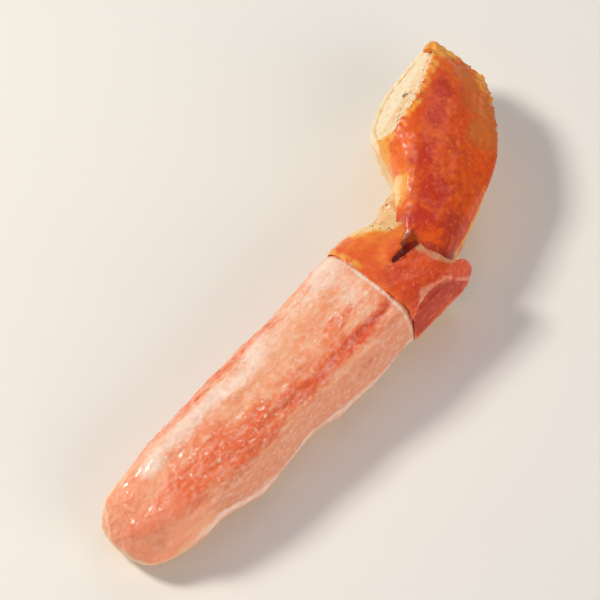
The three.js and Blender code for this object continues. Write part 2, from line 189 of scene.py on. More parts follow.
def choose(test: Callable[[Vector], bool]) -> int:
    """Selects the points of the open mesh that pass a test, and no others.

    Args:
        test: is given each point's place in metres.

    Returns:
        How many were selected.
    """
    mesh = bmesh.from_edit_mesh(bpy.context.edit_object.data)
    count = 0
    for point in mesh.verts:
        point.select = bool(test(point.co))
        count += point.select
    mesh.select_mode = {"VERT"}
    mesh.select_flush_mode()
    bmesh.update_edit_mesh(bpy.context.edit_object.data)
    return count


def face_outwards() -> None:
    """Turns every face of the open mesh outwards."""
    bpy.ops.mesh.select_all(action="SELECT")
    bpy.ops.mesh.normals_make_consistent(inside=False)


def modify(piece: Object, kind: str, **settings: object) -> None:
    """Adds a modifier to a piece and applies it.

    Args:
        piece: the piece.
        kind: the modifier's type.
        settings: its values by name.
    """
    modifier = piece.modifiers.new("work", kind)
    for name, value in settings.items():
        setattr(modifier, name, value)
    work_on(piece)
    bpy.ops.object.modifier_apply(modifier=modifier.name)


def round_off(piece: Object, levels: int = 2) -> None:
    """Rounds a cage into a smooth skin."""
    modify(piece, "SUBSURF", levels=levels, render_levels=levels)


def knit(piece: Object, size: float) -> None:
    """Rebuilds closed parts as one even skin with faces of a size."""
    modify(piece, "REMESH", mode="VOXEL", voxel_size=size * MM, adaptivity=0.0)


def soften(piece: Object, times: int, factor: float = 0.5) -> None:
    """Evens out a skin a number of times."""
    modify(piece, "SMOOTH", iterations=times, factor=factor)


def give_wall(piece: Object, wall: float, rim_crease: float = 0.0) -> None:
    """Gives an open skin a wall on its inner side; a crease keeps its rim sharp."""
    shape = {"thickness": wall * MM, "offset": -1.0, "use_even_offset": True}
    modify(piece, "SOLIDIFY", **shape, edge_crease_rim=rim_crease)


def press_flat(piece: Object) -> None:
    """Presses what reaches below the table flat.

    Args:
        piece: the piece.
    """
    open_mesh(piece)
    choose(lambda p: p.z < 0.0)
    bpy.ops.transform.resize(value=(1.0, 1.0, 0.0), center_override=(0.0, 0.0, 0.0))
    close_mesh()


def settle(piece: Object) -> None:
    """Puts a piece's place and turn into its mesh, with its object at the origin."""
    work_on(piece)
    bpy.ops.object.transform_apply(location=True, rotation=True, scale=True)


def per_point(piece: Object, what: str) -> Points:
    """Reads three numbers at each point of a mesh.

    Args:
        piece: the piece.
        what: the value's name, "co" or "normal".

    Returns:
        One row for each point.
    """
    flat = np.zeros(len(piece.data.vertices) * 3, np.float32)
    piece.data.vertices.foreach_get(what, flat)
    return flat.reshape(-1, 3).astype(float)


def places_of(piece: Object) -> Points:
    """The places of a mesh's points in millimetres, one row each."""
    return per_point(piece, "co") / MM


def put_places(piece: Object, points: Points) -> None:
    """Moves a mesh's points to new places in millimetres."""
    piece.data.vertices.foreach_set("co", (points * MM).astype(np.float32).ravel())
    piece.data.update()


def press(piece: Object, depth: Callable[[Points], Shares]) -> None:
    """Works relief into a skin; depth gives how far each point moves out."""
    points = places_of(piece)
    put_places(piece, points + per_point(piece, "normal") * depth(points)[:, None])


def paint(piece: Object, name: str, share: Shares) -> None:
    """Stores a mask on a mesh's points for a finish to read."""
    mask = piece.data.attributes.new(name, "FLOAT", "POINT")
    mask.data.foreach_set("value", np.clip(share, 0.0, 1.0).astype(np.float32))


class Growth(Enum):
    """What uneven relief grows like."""

    LUMPS = "CLOUDS"
    GRAINS = "STUCCI"


@dataclass(frozen=True)
class Relief:
    """Uneven growth over a skin: its size along and across, and its height."""

    growth: Growth
    along: float
    across: float
    height: float
    depth: int = 2  # how often lumps carry finer lumps
    at: tuple[float, float, float] = (0.0, 0.0, 0.0)  # shifts the pattern, in metres
    weights: int = 20  # steps that a share of the height is rounded to

    def apply(self, piece: Object, where: Shares | None = None) -> None:
        """Works the relief into a piece.

        Args:
            piece: the piece.
            where: the share of the height at each point, or None for all of it.
        """
        texture = bpy.data.textures.new("relief", self.growth.value)
        texture.noise_scale = 1.0
        if self.growth is Growth.LUMPS:
            texture.noise_depth = self.depth
        clear_selection()
        bpy.ops.object.empty_add(location=self.at)
        grid = bpy.context.object
        grid.scale = (self.along * MM, self.across * MM, self.across * MM)
        bpy.context.view_layer.update()
        settings = {
            "texture": texture,
            "texture_coords": "OBJECT",
            "texture_coords_object": grid,
            "strength": self.height * MM,
        }
        if where is not None:
            group = piece.vertex_groups.new(name="where")
            nearest = np.round(np.clip(where, 0, 1) * self.weights)
            for step in range(1, self.weights + 1):
                chosen = np.nonzero(nearest == step)[0]
                if len(chosen):
                    group.add(chosen.tolist(), step / self.weights, "REPLACE")
            settings["vertex_group"] = "where"
        modify(piece, "DISPLACE", **settings)
        if where is not None:
            piece.vertex_groups.remove(piece.vertex_groups["where"])
        bpy.data.objects.remove(grid)
        bpy.data.textures.remove(texture)


# ---- Sections: a body is drawn out ring by ring ----


@dataclass(frozen=True)
class Section:
    """One section of a body, measured from the place where its body starts."""

    at: float
    left: float
    right: float
    low: float
    high: float
    shift: float = 0.0
    widest: Limits = (0.5, 0.5)  # share of the height, on the left and on the right

    def reach(self, side: Side) -> float:
        """How far the section reaches to one side of its middle."""
        up, down = self.high - self.middle.z, self.middle.z - self.low
        return {Side.LEFT: self.left, Side.RIGHT: self.right, Side.UP: up, Side.DOWN: down}[side]

    @property
    def middle(self) -> Vector:
        """The place between its four sides."""
        share = sum(self.widest) / 2
        return Vector((self.at, self.shift, self.low + share * (self.high - self.low)))

    def grown(self, by: float) -> "Section":
        """The same section, larger all round."""
        left, right = (max(half + by, LEAST_HALF) for half in (self.left, self.right))
        return replace(self, left=left, right=right, low=self.low - by, high=self.high + by)


def between(sections: Sequence[Section], at: float) -> Section:
    """The section at a place between those that are given, with smooth changes.

    Args:
        sections: in order along the body.
        at: the place.

    Returns:
        A new section there.
    """
    last = len(sections) - 1
    place = min(max(at, sections[0].at), sections[last].at)
    i = 0
    while i < last - 1 and place > sections[i + 1].at:
        i += 1
    start, end = sections[i], sections[i + 1]
    span = end.at - start.at
    t = (place - start.at) / span
    values = {}
    for key in ("left", "right", "low", "high", "shift"):

        def slope(k: int, key: str = key) -> float:
            """The change for each millimetre at one of the given sections."""
            a, b = sections[max(k - 1, 0)], sections[min(k + 1, last)]
            return (getattr(b, key) - getattr(a, key)) / (b.at - a.at)

        values[key] = (
            (1 + 2 * t) * (1 - t) ** 2 * getattr(start, key)
            + t * (1 - t) ** 2 * span * slope(i)
            + t * t * (3 - 2 * t) * getattr(end, key)
            + t * t * (t - 1) * span * slope(i + 1)
        )
    return replace(start, at=at, **values)


def angle_round(sections: Sequence[Section], p: Vector) -> float:
    """The angle round a body of a point, whose place is in metres."""
    off = p - between(sections, p.x / MM).middle * MM
    return math.degrees(math.atan2(off.z, off.y)) % 360.0


def angles_round(sections: Sequence[Section], points: Points) -> Shares:
    """The angles round a body of many points.

    Args:
        sections: the body's sections.
        points: places in millimetres, in the body's own frame.

    Returns:
        One angle for each.
    """
    at = [s.at for s in sections]
    shift = np.interp(points[:, 0], at, [s.shift for s in sections])
    middle = np.interp(points[:, 0], at, [s.middle.z for s in sections])
    return np.degrees(np.arctan2(points[:, 2] - middle, points[:, 1] - shift)) % 360.0


@dataclass
class Cage:
    """A body drawn out from one ring: extruded, stretched and closed section by section."""

    name: str
    sections: Sequence[Section]
    around: int = 24
    fullness: float = FULLNESS
    end_inset: float = 0.3  # of the smaller half width

    @property
    def swell(self) -> float:
        """How much larger the cage is than the round skin it gives."""
        return 3.0 / (2.0 + math.cos(2 * math.pi / self.around))

    def build(self, closed: bool = True) -> Object:
        """Draws the body out.

        Args:
            closed: whether its ends are closed.

        Returns:
            The cage, still open for its own pushes and pulls.
        """
        first = self.sections[0]
        clear_selection()
        bpy.ops.mesh.primitive_circle_add(
            vertices=self.around,
            radius=first.left * MM,
            fill_type="NOTHING",
            location=first.middle * MM,
            rotation=(0.0, math.pi / 2, 0.0),
        )
        piece = bpy.context.object
        piece.name = piece.data.name = self.name
        settle(piece)
        open_mesh(piece)
        self._fill_out(first)
        self._stretch(None, first)
        for previous, following in zip(self.sections, self.sections[1:]):
            choose(lambda p: abs(p.x - previous.at * MM) < EPSILON)
            step = (following.middle - previous.middle) * MM
            bpy.ops.mesh.extrude_edges_move(TRANSFORM_OT_translate={"value": step})
            self._stretch(previous, following)
        if closed:
            self._close(first)
            self._close(self.sections[-1])
        face_outwards()
        return piece

    def _fill_out(self, first: Section) -> None:
        """Pushes the ring's diagonals out, so that the section is fuller than a circle.

        Args:
            first: the section that the ring stands for.
        """
        middle = first.middle * MM
        step = 360.0 / self.around
        for k in range(1, int(45.0 / step) + 1):
            turn = math.radians(k * step)
            full = math.hypot(math.cos(turn) ** self.fullness, math.sin(turn) ** self.fullness)

            def on_diagonal(p: Vector) -> bool:
                """Whether a point lies this far from the nearest quarter line."""
                angle = math.degrees(math.atan2(p.z - middle.z, p.y - middle.y)) % 90.0
                return abs(min(angle, 90.0 - angle) - k * step) < 0.5 * step

            choose(on_diagonal)
            bpy.ops.transform.resize(value=(1.0, full, full), center_override=middle)

    def _stretch(self, previous: Section | None, following: Section) -> None:
        """Stretches the newest ring, side by side.

        Args:
            previous: the section whose size it has, or None for the first, round ring.
            following: the section whose size it gets.
        """
        middle = following.middle * MM
        for side in Side:
            before = previous.reach(side) if previous else following.left / self.swell
            ratio = following.reach(side) / before
            if abs(ratio - 1.0) < 1e-5:
                continue
            choose(lambda p: abs(p.x - middle.x) < EPSILON and side.faces(p - middle))
            bpy.ops.transform.resize(value=side.stretch(ratio), center_override=middle)

    def _close(self, section: Section) -> None:
        """Closes an end with a face that is inset once, so that it rounds off evenly.

        Args:
            section: the end's section.
        """
        choose(lambda p: abs(p.x - section.at * MM) < EPSILON)
        bpy.ops.mesh.edge_face_add()
        inset = self.end_inset * min(section.left, section.right) * MM
        bpy.ops.mesh.inset(thickness=inset, depth=0.0)


@dataclass(frozen=True)
class Dent:
    """A lengthwise strip of a cage that is pushed out or in."""

    angle: float
    width: float  # half of it
    out: float

    def push(
        self, sections: Sequence[Section], share: float = 1.0, along: Limits = (-99.0, 99.0)
    ) -> None:
        """Pushes the strip of the open cage.

        Args:
            sections: the cage's sections.
            share: how much of the way it goes.
            along: from where to where on the body.
        """

        def on_strip(p: Vector) -> bool:
            """Whether a point lies on the strip."""
            here = along[0] * MM <= p.x < along[1] * MM
            return here and abs(turn_from(angle_round(sections, p), self.angle)) < self.width

        if choose(on_strip):
            bpy.ops.transform.translate(value=way_out(self.angle) * self.out * share * MM)


# ---- Finishes ----


@dataclass(frozen=True)
class Moisture:
    """How light enters a moist surface and is mirrored by the film on it."""

    ior: float = 1.4
    mirrored: float = 0.5
    entering: float = 0.4
    reach: tuple[float, float, float] = (1.0, 0.5, 0.3)  # of red, green and blue, times the depth
    depth: float = 1.2
    film: float = 0.4
    film_rough: float = 0.2
    film_ior: float = 1.38


class Recipe:
    """Mixes one finish from nodes, step by step. Sizes are in millimetres."""

    def __init__(self, name: str) -> None:
        """Starts an empty finish.

        Args:
            name: the material's name.
        """
        self.material = bpy.data.materials.new(name)
        self.material.use_nodes = True
        self.tree = self.material.node_tree
        self.tree.nodes.clear()
        self.shader = self._node("BsdfPrincipled")
        output = self._node("OutputMaterial")
        self.tree.links.new(self.shader.outputs["BSDF"], output.inputs["Surface"])
        self.place = self._node("TexCoord").outputs["Object"]

    def _node(self, kind: str, **inputs: object) -> bpy.types.Node:
        """Adds a node.

        Args:
            kind: its type.
            inputs: what its sockets are given, spaces written as underscores.

        Returns:
            The node.
        """
        node = self.tree.nodes.new("ShaderNode" + kind)
        for name, value in inputs.items():
            self._feed(node.inputs[name.replace("_", " ")], value)
        return node

    def _feed(self, socket: Socket, value: object) -> None:
        """Links a socket to another, or sets its value.

        Args:
            socket: the socket.
            value: another socket, a number, a vector or a colour.
        """
        if isinstance(value, Socket):
            self.tree.links.new(value, socket)
        else:
            socket.default_value = value

    def set(self, **values: object) -> None:
        """Sets or links the shader's own inputs, spaces written as underscores."""
        for name, value in values.items():
            self._feed(self.shader.inputs[name.replace("_", " ")], value)

    def moist(self, colour: Socket, rough: Socket, normal: Socket, moisture: Moisture) -> None:
        """Gives the shader its colour, grain and moisture.

        Args:
            colour: the colour.
            rough: how rough it is.
            normal: the way it faces.
            moisture: how wet it is.
        """
        self.set(
            Base_Color=colour,
            Roughness=rough,
            Normal=normal,
            IOR=moisture.ior,
            Specular_IOR_Level=moisture.mirrored,
            Subsurface_Weight=moisture.entering,
            Subsurface_Radius=moisture.reach,
            Subsurface_Scale=moisture.depth * MM,
            Coat_Weight=moisture.film,
            Coat_Roughness=moisture.film_rough,
            Coat_IOR=moisture.film_ior,
        )

    def mask(self, name: str) -> Socket:
        """Reads a mask that was painted on the piece.

        Args:
            name: the mask.

        Returns:
            Its share, 0 to 1.
        """
        node = self._node("Attribute")
        node.attribute_name = name
        return node.outputs["Fac"]

    def _spread(self, along: float, across: float | None) -> Socket:
        """Places measured in a pattern's own cells.

        Args:
            along: the cells' size along the arm.
            across: their size across, the same if None.

        Returns:
            The places.
        """
        wide = 1 / ((across or along) * MM)
        mapping = self._node("Mapping", Vector=self.place, Scale=(1 / (along * MM), wide, wide))
        return mapping.outputs["Vector"]

    def noise(
        self, along: float, across: float | None = None, detail: float = 2.0, twist: float = 0.0
    ) -> Socket:
        """Soft mottling.

        Args:
            along: the size of a patch along the arm.
            across: its size across, the same if left out.
            detail: how much finer detail it holds.
            twist: how much it swirls.

        Returns:
            Values round one half.
        """
        spread = self._spread(along, across)
        node = self._node("TexNoise", Vector=spread, Scale=1.0, Detail=detail, Distortion=twist)
        return node.outputs["Fac"]

    def cells(self, along: float, across: float | None = None, smooth: bool = True) -> Socket:
        """Distance to the nearest of scattered dots.

        Args:
            along: how far apart the dots lie along the arm.
            across: how far apart across, the same if left out.
            smooth: whether the cells run into each other.

        Returns:
            Distances in cells.
        """
        node = self._node("TexVoronoi", Vector=self._spread(along, across), Scale=1.0)
        node.feature = "SMOOTH_F1" if smooth else "F1"
        return node.outputs["Distance"]

    def dots(self, along: float, across: float, radius: float, share: float) -> Socket:
        """Small scattered spots with soft, uneven outlines.

        Args:
            along: how far apart they lie along the arm.
            across: how far apart across.
            radius: their radius in cells.
            share: the share of the cells that have a spot.

        Returns:
            1 on a spot and 0 off it.
        """
        node = self._node("TexVoronoi", Vector=self._spread(along, across), Scale=1.0)
        parts = self._node("SeparateColor", Color=node.outputs["Color"])
        uneven = self.swing(self.noise(along * 0.3), 0.9)
        distance = self.add(node.outputs["Distance"], uneven)
        spot = self.step(distance, 0.2 * radius, radius, 0.9, 0.0)
        return self.times(spot, self.step(parts.outputs[0], share, share * 0.6))

    def step(
        self, value: Socket, low: float, high: float, least: float = 0.0, most: float = 1.0
    ) -> Socket:
        """A soft step between two values.

        Args:
            value: what is looked at.
            low: where the step begins.
            high: where it ends.
            least: what it gives at the start.
            most: what it gives at the end.

        Returns:
            The stepped value.
        """
        limits = {"From_Min": low, "From_Max": high, "To_Min": least, "To_Max": most}
        node = self._node("MapRange", Value=value, **limits)
        node.interpolation_type = "SMOOTHSTEP"
        return node.outputs["Result"]

    def _sum(self, how: str, *values: Socket | float) -> Socket:
        """Joins two values.

        Args:
            how: Blender's name of the operation.
            values: the two, in order.

        Returns:
            The outcome.
        """
        node = self._node("Math")
        node.operation = how
        for place, value in enumerate(values):
            self._feed(node.inputs[place], value)
        return node.outputs[0]

    def add(self, first: Socket, second: Socket) -> Socket:
        """The sum of two patterns."""
        return self._sum("ADD", first, second)

    def times(self, first: Socket, second: Socket | float) -> Socket:
        """One pattern times another or a number."""
        return self._sum("MULTIPLY", first, second)

    def larger(self, first: Socket, second: Socket) -> Socket:
        """The larger of two patterns."""
        return self._sum("MAXIMUM", first, second)

    def swing(self, pattern: Socket, by: float) -> Socket:
        """A pattern that swings evenly above and below nothing."""
        return self.times(self._sum("SUBTRACT", pattern, 0.5), by)

    def worn(
        self, name: str, pattern: Socket, by: float, low: float, high: float, most: float = 1.0
    ) -> Socket:
        """A painted mask with an uneven border.

        Args:
            name: the mask.
            pattern: what makes its border uneven.
            by: how strongly.
            low: where its soft step begins.
            high: where it ends.
            most: its greatest share.

        Returns:
            The share of the tone that is laid there.
        """
        value = self.add(self.mask(name), self.times(pattern, by))
        return self.step(value, low, high, 0.0, most)

    def mix(self, share: Socket, first: Socket | Tone, second: Socket | Tone) -> Socket:
        """Mixes two colours.

        Args:
            share: how much of the second.
            first: the first colour, a socket or a screen colour.
            second: the second.

        Returns:
            The mixed colour.
        """
        node = self._node("Mix")
        node.data_type = "RGBA"
        self._feed(node.inputs[0], share)
        for place, tone in ((6, first), (7, second)):
            self._feed(node.inputs[place], tone if isinstance(tone, Socket) else linear(*tone))
        return node.outputs[2]

    def relief(
        self, height: Socket, depth: float, strength: float, under: Socket | None = None
    ) -> Socket:
        """Fine relief in the way the surface faces.

        Args:
            height: the pattern.
            depth: its depth.
            strength: how much of it shows.
            under: coarser relief that it lies on.

        Returns:
            The new normal.
        """
        node = self._node("Bump", Strength=strength, Distance=depth * MM, Height=height)
        if under is not None:
            self._feed(node.inputs["Normal"], under)
        return node.outputs["Normal"]


@dataclass(frozen=True)
class Finish:
    """What every finish has: the name of its material."""

    name: str

    def mix(self) -> bpy.types.Material:
        """Makes the material."""
        raise NotImplementedError


@dataclass(frozen=True)
class MeatFinish(Finish):
    """Moist cooked meat: peach, with orange pigment in streaks, a pale band with a painted
    highlight along it, pale sides and painted glints.
    """

    name: str = "peeled_meat"
    peach: Tone = (247, 172, 128)
    salmon: Tone = (242, 144, 100)
    orange: Tone = (235, 106, 56)
    red: Tone = (214, 70, 34)
    pale: Tone = (255, 226, 210)
    side: Tone = (230, 148, 110)
    cream: Tone = (246, 208, 160)
    # painted highlight: the colour of the wet glints
    glint: Tone = (255, 228, 208)
    plain: Tone = (245, 156, 122)
    moisture: Moisture = Moisture(1.4, 0.3, 0.3, (1.0, 0.4, 0.25), 1.1, 0.55, 0.12, 1.42)

    def mix(self) -> bpy.types.Material:
        """Lays the pigment over the peach ground, then the pale fibres, the pale band with its
        painted highlight, and the wet glints painted as near-white spots.

        Returns:
            The material.
        """
        recipe = Recipe(self.name)
        soft = recipe.noise(7.0, 3.2, 3.0, 0.3)
        fibre = recipe.noise(5.0, 0.55, 3.0, 0.2)
        grain = recipe.cells(0.95, 0.7)
        uneven = recipe.swing(soft, 1.2)
        flecked = recipe.swing(recipe.noise(1.5, 0.9, 3.0, 0.3), 1.1)
        broken = recipe.add(uneven, flecked)
        mottle = recipe.noise(1.6, 1.1, 2.0, 0.5)
        colour = recipe.mix(recipe.step(soft, 0.38, 0.66), self.peach, self.salmon)
        for share, tone in (
            (recipe.worn("side", uneven, 0.5, 0.2, 0.8), self.side),
            (recipe.worn("streak", broken, 1.0, 0.15, 0.95, 0.95), self.orange),
            (recipe.worn("red", broken, 0.7, 0.35, 1.1), self.red),
            (recipe.worn("pale", broken, -0.8, 0.2, 1.1, 0.85), self.pale),
            (recipe.step(fibre, 0.52, 0.7, 0.0, 0.16), self.pale),
            (recipe.step(grain, 0.1, 0.5, 0.18, 0.0), self.pale),
            (recipe.step(mottle, 0.5, 0.68, 0.0, 0.2), self.pale),
            (recipe.worn("plain", broken, 1.0, 0.1, 1.1, 0.55), self.plain),
            (recipe.worn("cream", broken, 0.7, 0.1, 1.2, 0.96), self.cream),
            # painted highlights: the wet glints
            (self.painted_glints(recipe), self.glint),
        ):
            colour = recipe.mix(share, colour, tone)
        normal = recipe.relief(fibre, 0.14, 0.5)
        normal = recipe.relief(grain, 0.3, 0.6, normal)
        normal = recipe.relief(recipe.noise(0.5, 0.4, 3.0), 0.14, 0.7, normal)
        rough = recipe.step(recipe.noise(1.6, 0.9, 4.0), 0.3, 0.7, 0.36, 0.55)
        recipe.moist(colour, rough, normal, self.moisture)
        return recipe.material

    def painted_glints(self, recipe: Recipe) -> Socket:
        """The painted highlights: small wet glints laid as near-white colour, in clusters on the
        middle of the back, finer on the pale band.

        Args:
            recipe: the recipe that they are part of.

        Returns:
            1 on a glint and 0 off it.
        """
        cluster = recipe.step(recipe.noise(4.0, 2.4, 2.0), 0.34, 0.6, 0.3, 1.0)
        large = recipe.larger(recipe.dots(2.2, 1.6, 0.3, 0.45), recipe.dots(1.2, 0.8, 0.42, 0.4))
        glint_dotted = recipe.times(recipe.mask("glint_dotted"), cluster)
        large = recipe.times(large, glint_dotted)
        on_pale = recipe.step(recipe.mask("pale"), 0.1, 0.8, 0.0, 0.9)
        fine = recipe.times(recipe.dots(0.9, 0.6, 0.5, 0.5), on_pale)
        return recipe.larger(large, fine)


@dataclass(frozen=True)
class ShellFinish(Finish):
    """Moist cooked shell, orange to red on the back and cream below."""

    name: str = "orange_shell"
    orange: Tone = (228, 86, 16)
    bright: Tone = (244, 118, 24)
    deep: Tone = (190, 48, 22)
    amber: Tone = (204, 106, 40)
    gold: Tone = (244, 168, 66)
    cream: Tone = (250, 216, 156)
    tan: Tone = (236, 178, 116)
    painted_shade_brown: Tone = (182, 56, 34)
    # painted shade: dark brown-red laid where the shell lies in shadow
    line: Tone = (248, 184, 160)
    speck: Tone = (104, 54, 34)
    # lighter flecks: on the band pinkish painted highlights for small wet glints, on the wrist
    # lighter orange
    fleck_and_glint: Tone = (244, 118, 24)
    moisture: Moisture = Moisture(1.45, 0.25, 0.2, (1.0, 0.35, 0.12), 0.8, 0.3, 0.16, 1.42)

    def mix(self) -> bpy.types.Material:
        """Lays each tone where its mask is, with a ragged border, then lighter flecks, which on
        the band are painted highlights, and specks.

        Returns:
            The material.
        """
        recipe = Recipe(self.name)
        cloud = recipe.noise(4.5, detail=4.0, twist=0.5)
        fine = recipe.noise(1.0, detail=5.0, twist=0.3)
        broken = recipe.add(recipe.swing(fine, 1.1), recipe.swing(cloud, 1.2))
        colour = recipe.mix(recipe.step(cloud, 0.38, 0.66), self.orange, self.bright)
        cream = recipe.mix(recipe.step(cloud, 0.42, 0.68, 0.0, 0.65), self.cream, self.tan)
        for name, tone, low, high, most_of_it in (
            ("deep", self.deep, 0.1, 1.0, 1.0),
            ("amber", self.amber, 0.2, 1.0, 0.95),
            ("painted_shade_brown", self.painted_shade_brown, 0.1, 1.0, 1.0),
            ("gold", self.gold, 0.2, 0.85, 0.95),
            ("cream", cream, 0.3, 1.0, 1.0),
            ("line", self.line, 0.3, 0.8, 0.85),
        ):
            share = recipe.worn(name, broken, 1.0, low, high, most_of_it)
            inside = recipe.step(recipe.mask(name), 0.0, 0.15)
            colour = recipe.mix(recipe.times(share, inside), colour, tone)
        # lighter flecks, on the band painted highlights
        flecks_and_glints = recipe.step(recipe.noise(0.7, detail=2.0, twist=0.4), 0.6, 0.72, 0.0, 0.5)
        colour = recipe.mix(flecks_and_glints, colour, self.fleck_and_glint)
        specks = recipe.step(recipe.noise(0.8, detail=2.0, twist=0.6), 0.6, 0.68)
        specks = recipe.times(specks, recipe.mask("specks"))
        colour = recipe.mix(specks, colour, self.speck)
        normal = recipe.relief(recipe.noise(2.4, detail=3.0), 0.35, 0.5)
        normal = recipe.relief(recipe.cells(0.7), 0.12, 0.5, normal)
        recipe.moist(colour, recipe.step(fine, 0.3, 0.7, 0.34, 0.5), normal, self.moisture)
        return recipe.material


@dataclass(frozen=True)
class SkinFinish(Finish):
    """Soft moist joint skin, cream with small folds."""

    name: str = "joint_skin"
    cream: Tone = (242, 196, 136)
    warm: Tone = (230, 140, 70)
    light: Tone = (250, 222, 182)
    # painted shade: the dark red laid in the split, also matching the wrist shell's red behind the
    # lobes
    shade: Tone = (172, 52, 34)
    speck: Tone = (96, 58, 40)
    moisture: Moisture = Moisture()

    def mix(self) -> bpy.types.Material:
        """Lays lighter patches, specks and the red painted shade in the split over the cream.

        Returns:
            The material.
        """
        recipe = Recipe(self.name)
        cloud = recipe.noise(2.6, detail=4.0, twist=0.4)
        fine = recipe.noise(0.7, detail=4.0)
        specks = recipe.step(recipe.cells(1.9, 1.2, smooth=False), 0.12, 0.2, 1.0, 0.0)
        specks = recipe.times(specks, recipe.step(cloud, 0.42, 0.56))
        colour = recipe.mix(recipe.step(cloud, 0.4, 0.66), self.cream, self.warm)
        colour = recipe.mix(recipe.step(fine, 0.45, 0.7, 0.0, 0.6), colour, self.light)
        colour = recipe.mix(specks, colour, self.speck)
        colour = recipe.mix(recipe.step(recipe.mask("shade"), 0.25, 0.75), colour, self.shade)
        normal = recipe.relief(recipe.noise(1.0, detail=4.0), 0.3, 0.6)
        recipe.moist(colour, recipe.step(fine, 0.3, 0.7, 0.34, 0.55), normal, self.moisture)
        return recipe.material


@dataclass(frozen=True)
class SocketFinish(Finish):
    """Pale cream meat in the socket, torn and moist, with a few dark specks."""

    name: str = "socket_meat"
    cream: Tone = (243, 206, 152)
    light: Tone = (250, 228, 190)
    warm: Tone = (234, 160, 92)
    dark: Tone = (112, 60, 38)
    white: Tone = (250, 232, 198)
    moisture: Moisture = Moisture(film=0.45)

    def mix(self) -> bpy.types.Material:
        """Lays light, white and the dark specks over the cream.

        Returns:
            The material.
        """
        recipe = Recipe(self.name)
        cloud = recipe.noise(2.4, detail=4.0, twist=0.5)
        fine = recipe.noise(0.6, detail=4.0)
        speckled = recipe.larger(recipe.mask("seam"), recipe.step(cloud, 0.5, 0.62, 0.0, 0.7))
        specks = recipe.times(recipe.dots(1.5, 0.8, 0.42, 0.6), speckled)
        dark = recipe.larger(specks, recipe.mask("spot"))
        white = recipe.worn("white", recipe.swing(cloud, 1.0), 1.0, 0.2, 1.1, 0.8)
        colour = recipe.mix(recipe.step(cloud, 0.42, 0.7), self.cream, self.warm)
        colour = recipe.mix(recipe.step(fine, 0.42, 0.62, 0.0, 0.8), colour, self.light)
        colour = recipe.mix(white, colour, self.white)
        colour = recipe.mix(dark, colour, self.dark)
        normal = recipe.relief(recipe.noise(0.9, detail=5.0), 0.3, 0.7)
        recipe.moist(colour, recipe.step(fine, 0.3, 0.7, 0.34, 0.55), normal, self.moisture)
        return recipe.material


# ---- What the pieces share ----


class Seat(Enum):
    """Where a piece's own frame stands: its place in metres and its turn."""

    ARM = (FREE_END, 0.0)
    JOINT = (FREE_END + PIVOT, JOINT_BEND)

    def set_down(self, piece: Object) -> None:
        """Moves a piece out of its own frame to its place.

        Args:
            piece: the piece.
        """
        piece.location, turn = self.value
        piece.rotation_euler = (0.0, 0.0, math.radians(turn))
        settle(piece)


@dataclass
class Piece:
    """What every piece of the arm has: its name, the CAD node it replaces, slot and finish."""

    name: str
    node: str
    slot: str
    finish: Finish
    seat: Seat = Seat.ARM

    def shape(self) -> Object:
        """Builds the mesh in the piece's own frame."""
        raise NotImplementedError

    def masks(self, piece: Object) -> dict[str, Shares]:
        """The masks that the finish reads."""
        raise NotImplementedError

    def make(self) -> Object:
        """Builds and dresses the piece, hands it over to the frame and reports it.

        Returns:
            The finished object.
        """
        piece = self.shape()
        for name, share in self.masks(piece).items():
            paint(piece, name, share)
        self.seat.set_down(piece)
        piece.name = piece.data.name = self.name
        piece.data.materials.clear()
        piece.data.materials.append(self.finish.mix())
        work_on(piece)
        bpy.ops.object.shade_smooth()
        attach(piece, ROOT)
        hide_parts(self.node)
        points = places_of(piece)
        low, high = np.round(points.min(axis=0), 2), np.round(points.max(axis=0), 2)
        count = len(piece.data.polygons)
        logging.info("%s: %d faces for %s, %s to %s mm", self.name, count, self.node, low, high)
        return piece


# ---- The arm ----

MEAT_SIDE = 9.0
MEAT_LOW, MEAT_TOP = 1.2, 15.4
MEAT_HALF = (MEAT_TOP - MEAT_LOW) / 2
MEAT_MIDDLE = (MEAT_TOP + MEAT_LOW) / 2


def meat_section(at: float, side: float, low: float, high: float, shift: float) -> Section:
    """A section of the arm's meat, as wide to the left as to the right."""
    return Section(at=at, left=side, right=side, low=low, high=high, shift=shift)


ARM_SECTIONS = (
    meat_section(0.0, 5.58, 2.6, 10.5, 2.4),
    meat_section(4.0, 7.2, 0.6, 12.2, 2.1),
    meat_section(12.0, 8.2, -0.3, 13.35, 1.6),
    meat_section(26.0, 9.0, -0.4, 14.2, 0.8),
    meat_section(42.0, 9.36, -0.4, 14.9, 0.2),
    meat_section(56.0, 9.8, -0.2, 15.76, 0.0),
    meat_section(63.0, 9.8, 0.3, 16.3, 0.0),
    meat_section(65.6, MEAT_SIDE, MEAT_LOW, MEAT_TOP, 0.0),
    meat_section(77.6, MEAT_SIDE, MEAT_LOW, MEAT_TOP, 0.0),
)
ARM_RIDGE = 138.0  # the angle of the ridge on the back's right
ARM_FLANK = 178.0  # the angle of the hollow below it
CUT_BACK = 2.6  # how far the cut through the shell lies before BAND_START
CUT_LEAN, CUT_TURN = 0.25, 0.1  # how it leans back, and how it is turned


def arm_angles(points: Points) -> Shares:
    """The angles round the arm of many points in millimetres."""
    return angles_round(ARM_SECTIONS, points)


def cut_lean(points: Points) -> Shares:
    """How far from BAND_START the slanted cut lies at each point, below 0 to the free end."""
    return -CUT_BACK - CUT_LEAN * (points[:, 2] - MEAT_MIDDLE) + CUT_TURN * points[:, 1]


def beyond_cut(points: Points) -> Shares:
    """How far each point lies beyond the cut through the shell, on the joint's side."""
    return points[:, 0] - BAND_START - cut_lean(points)


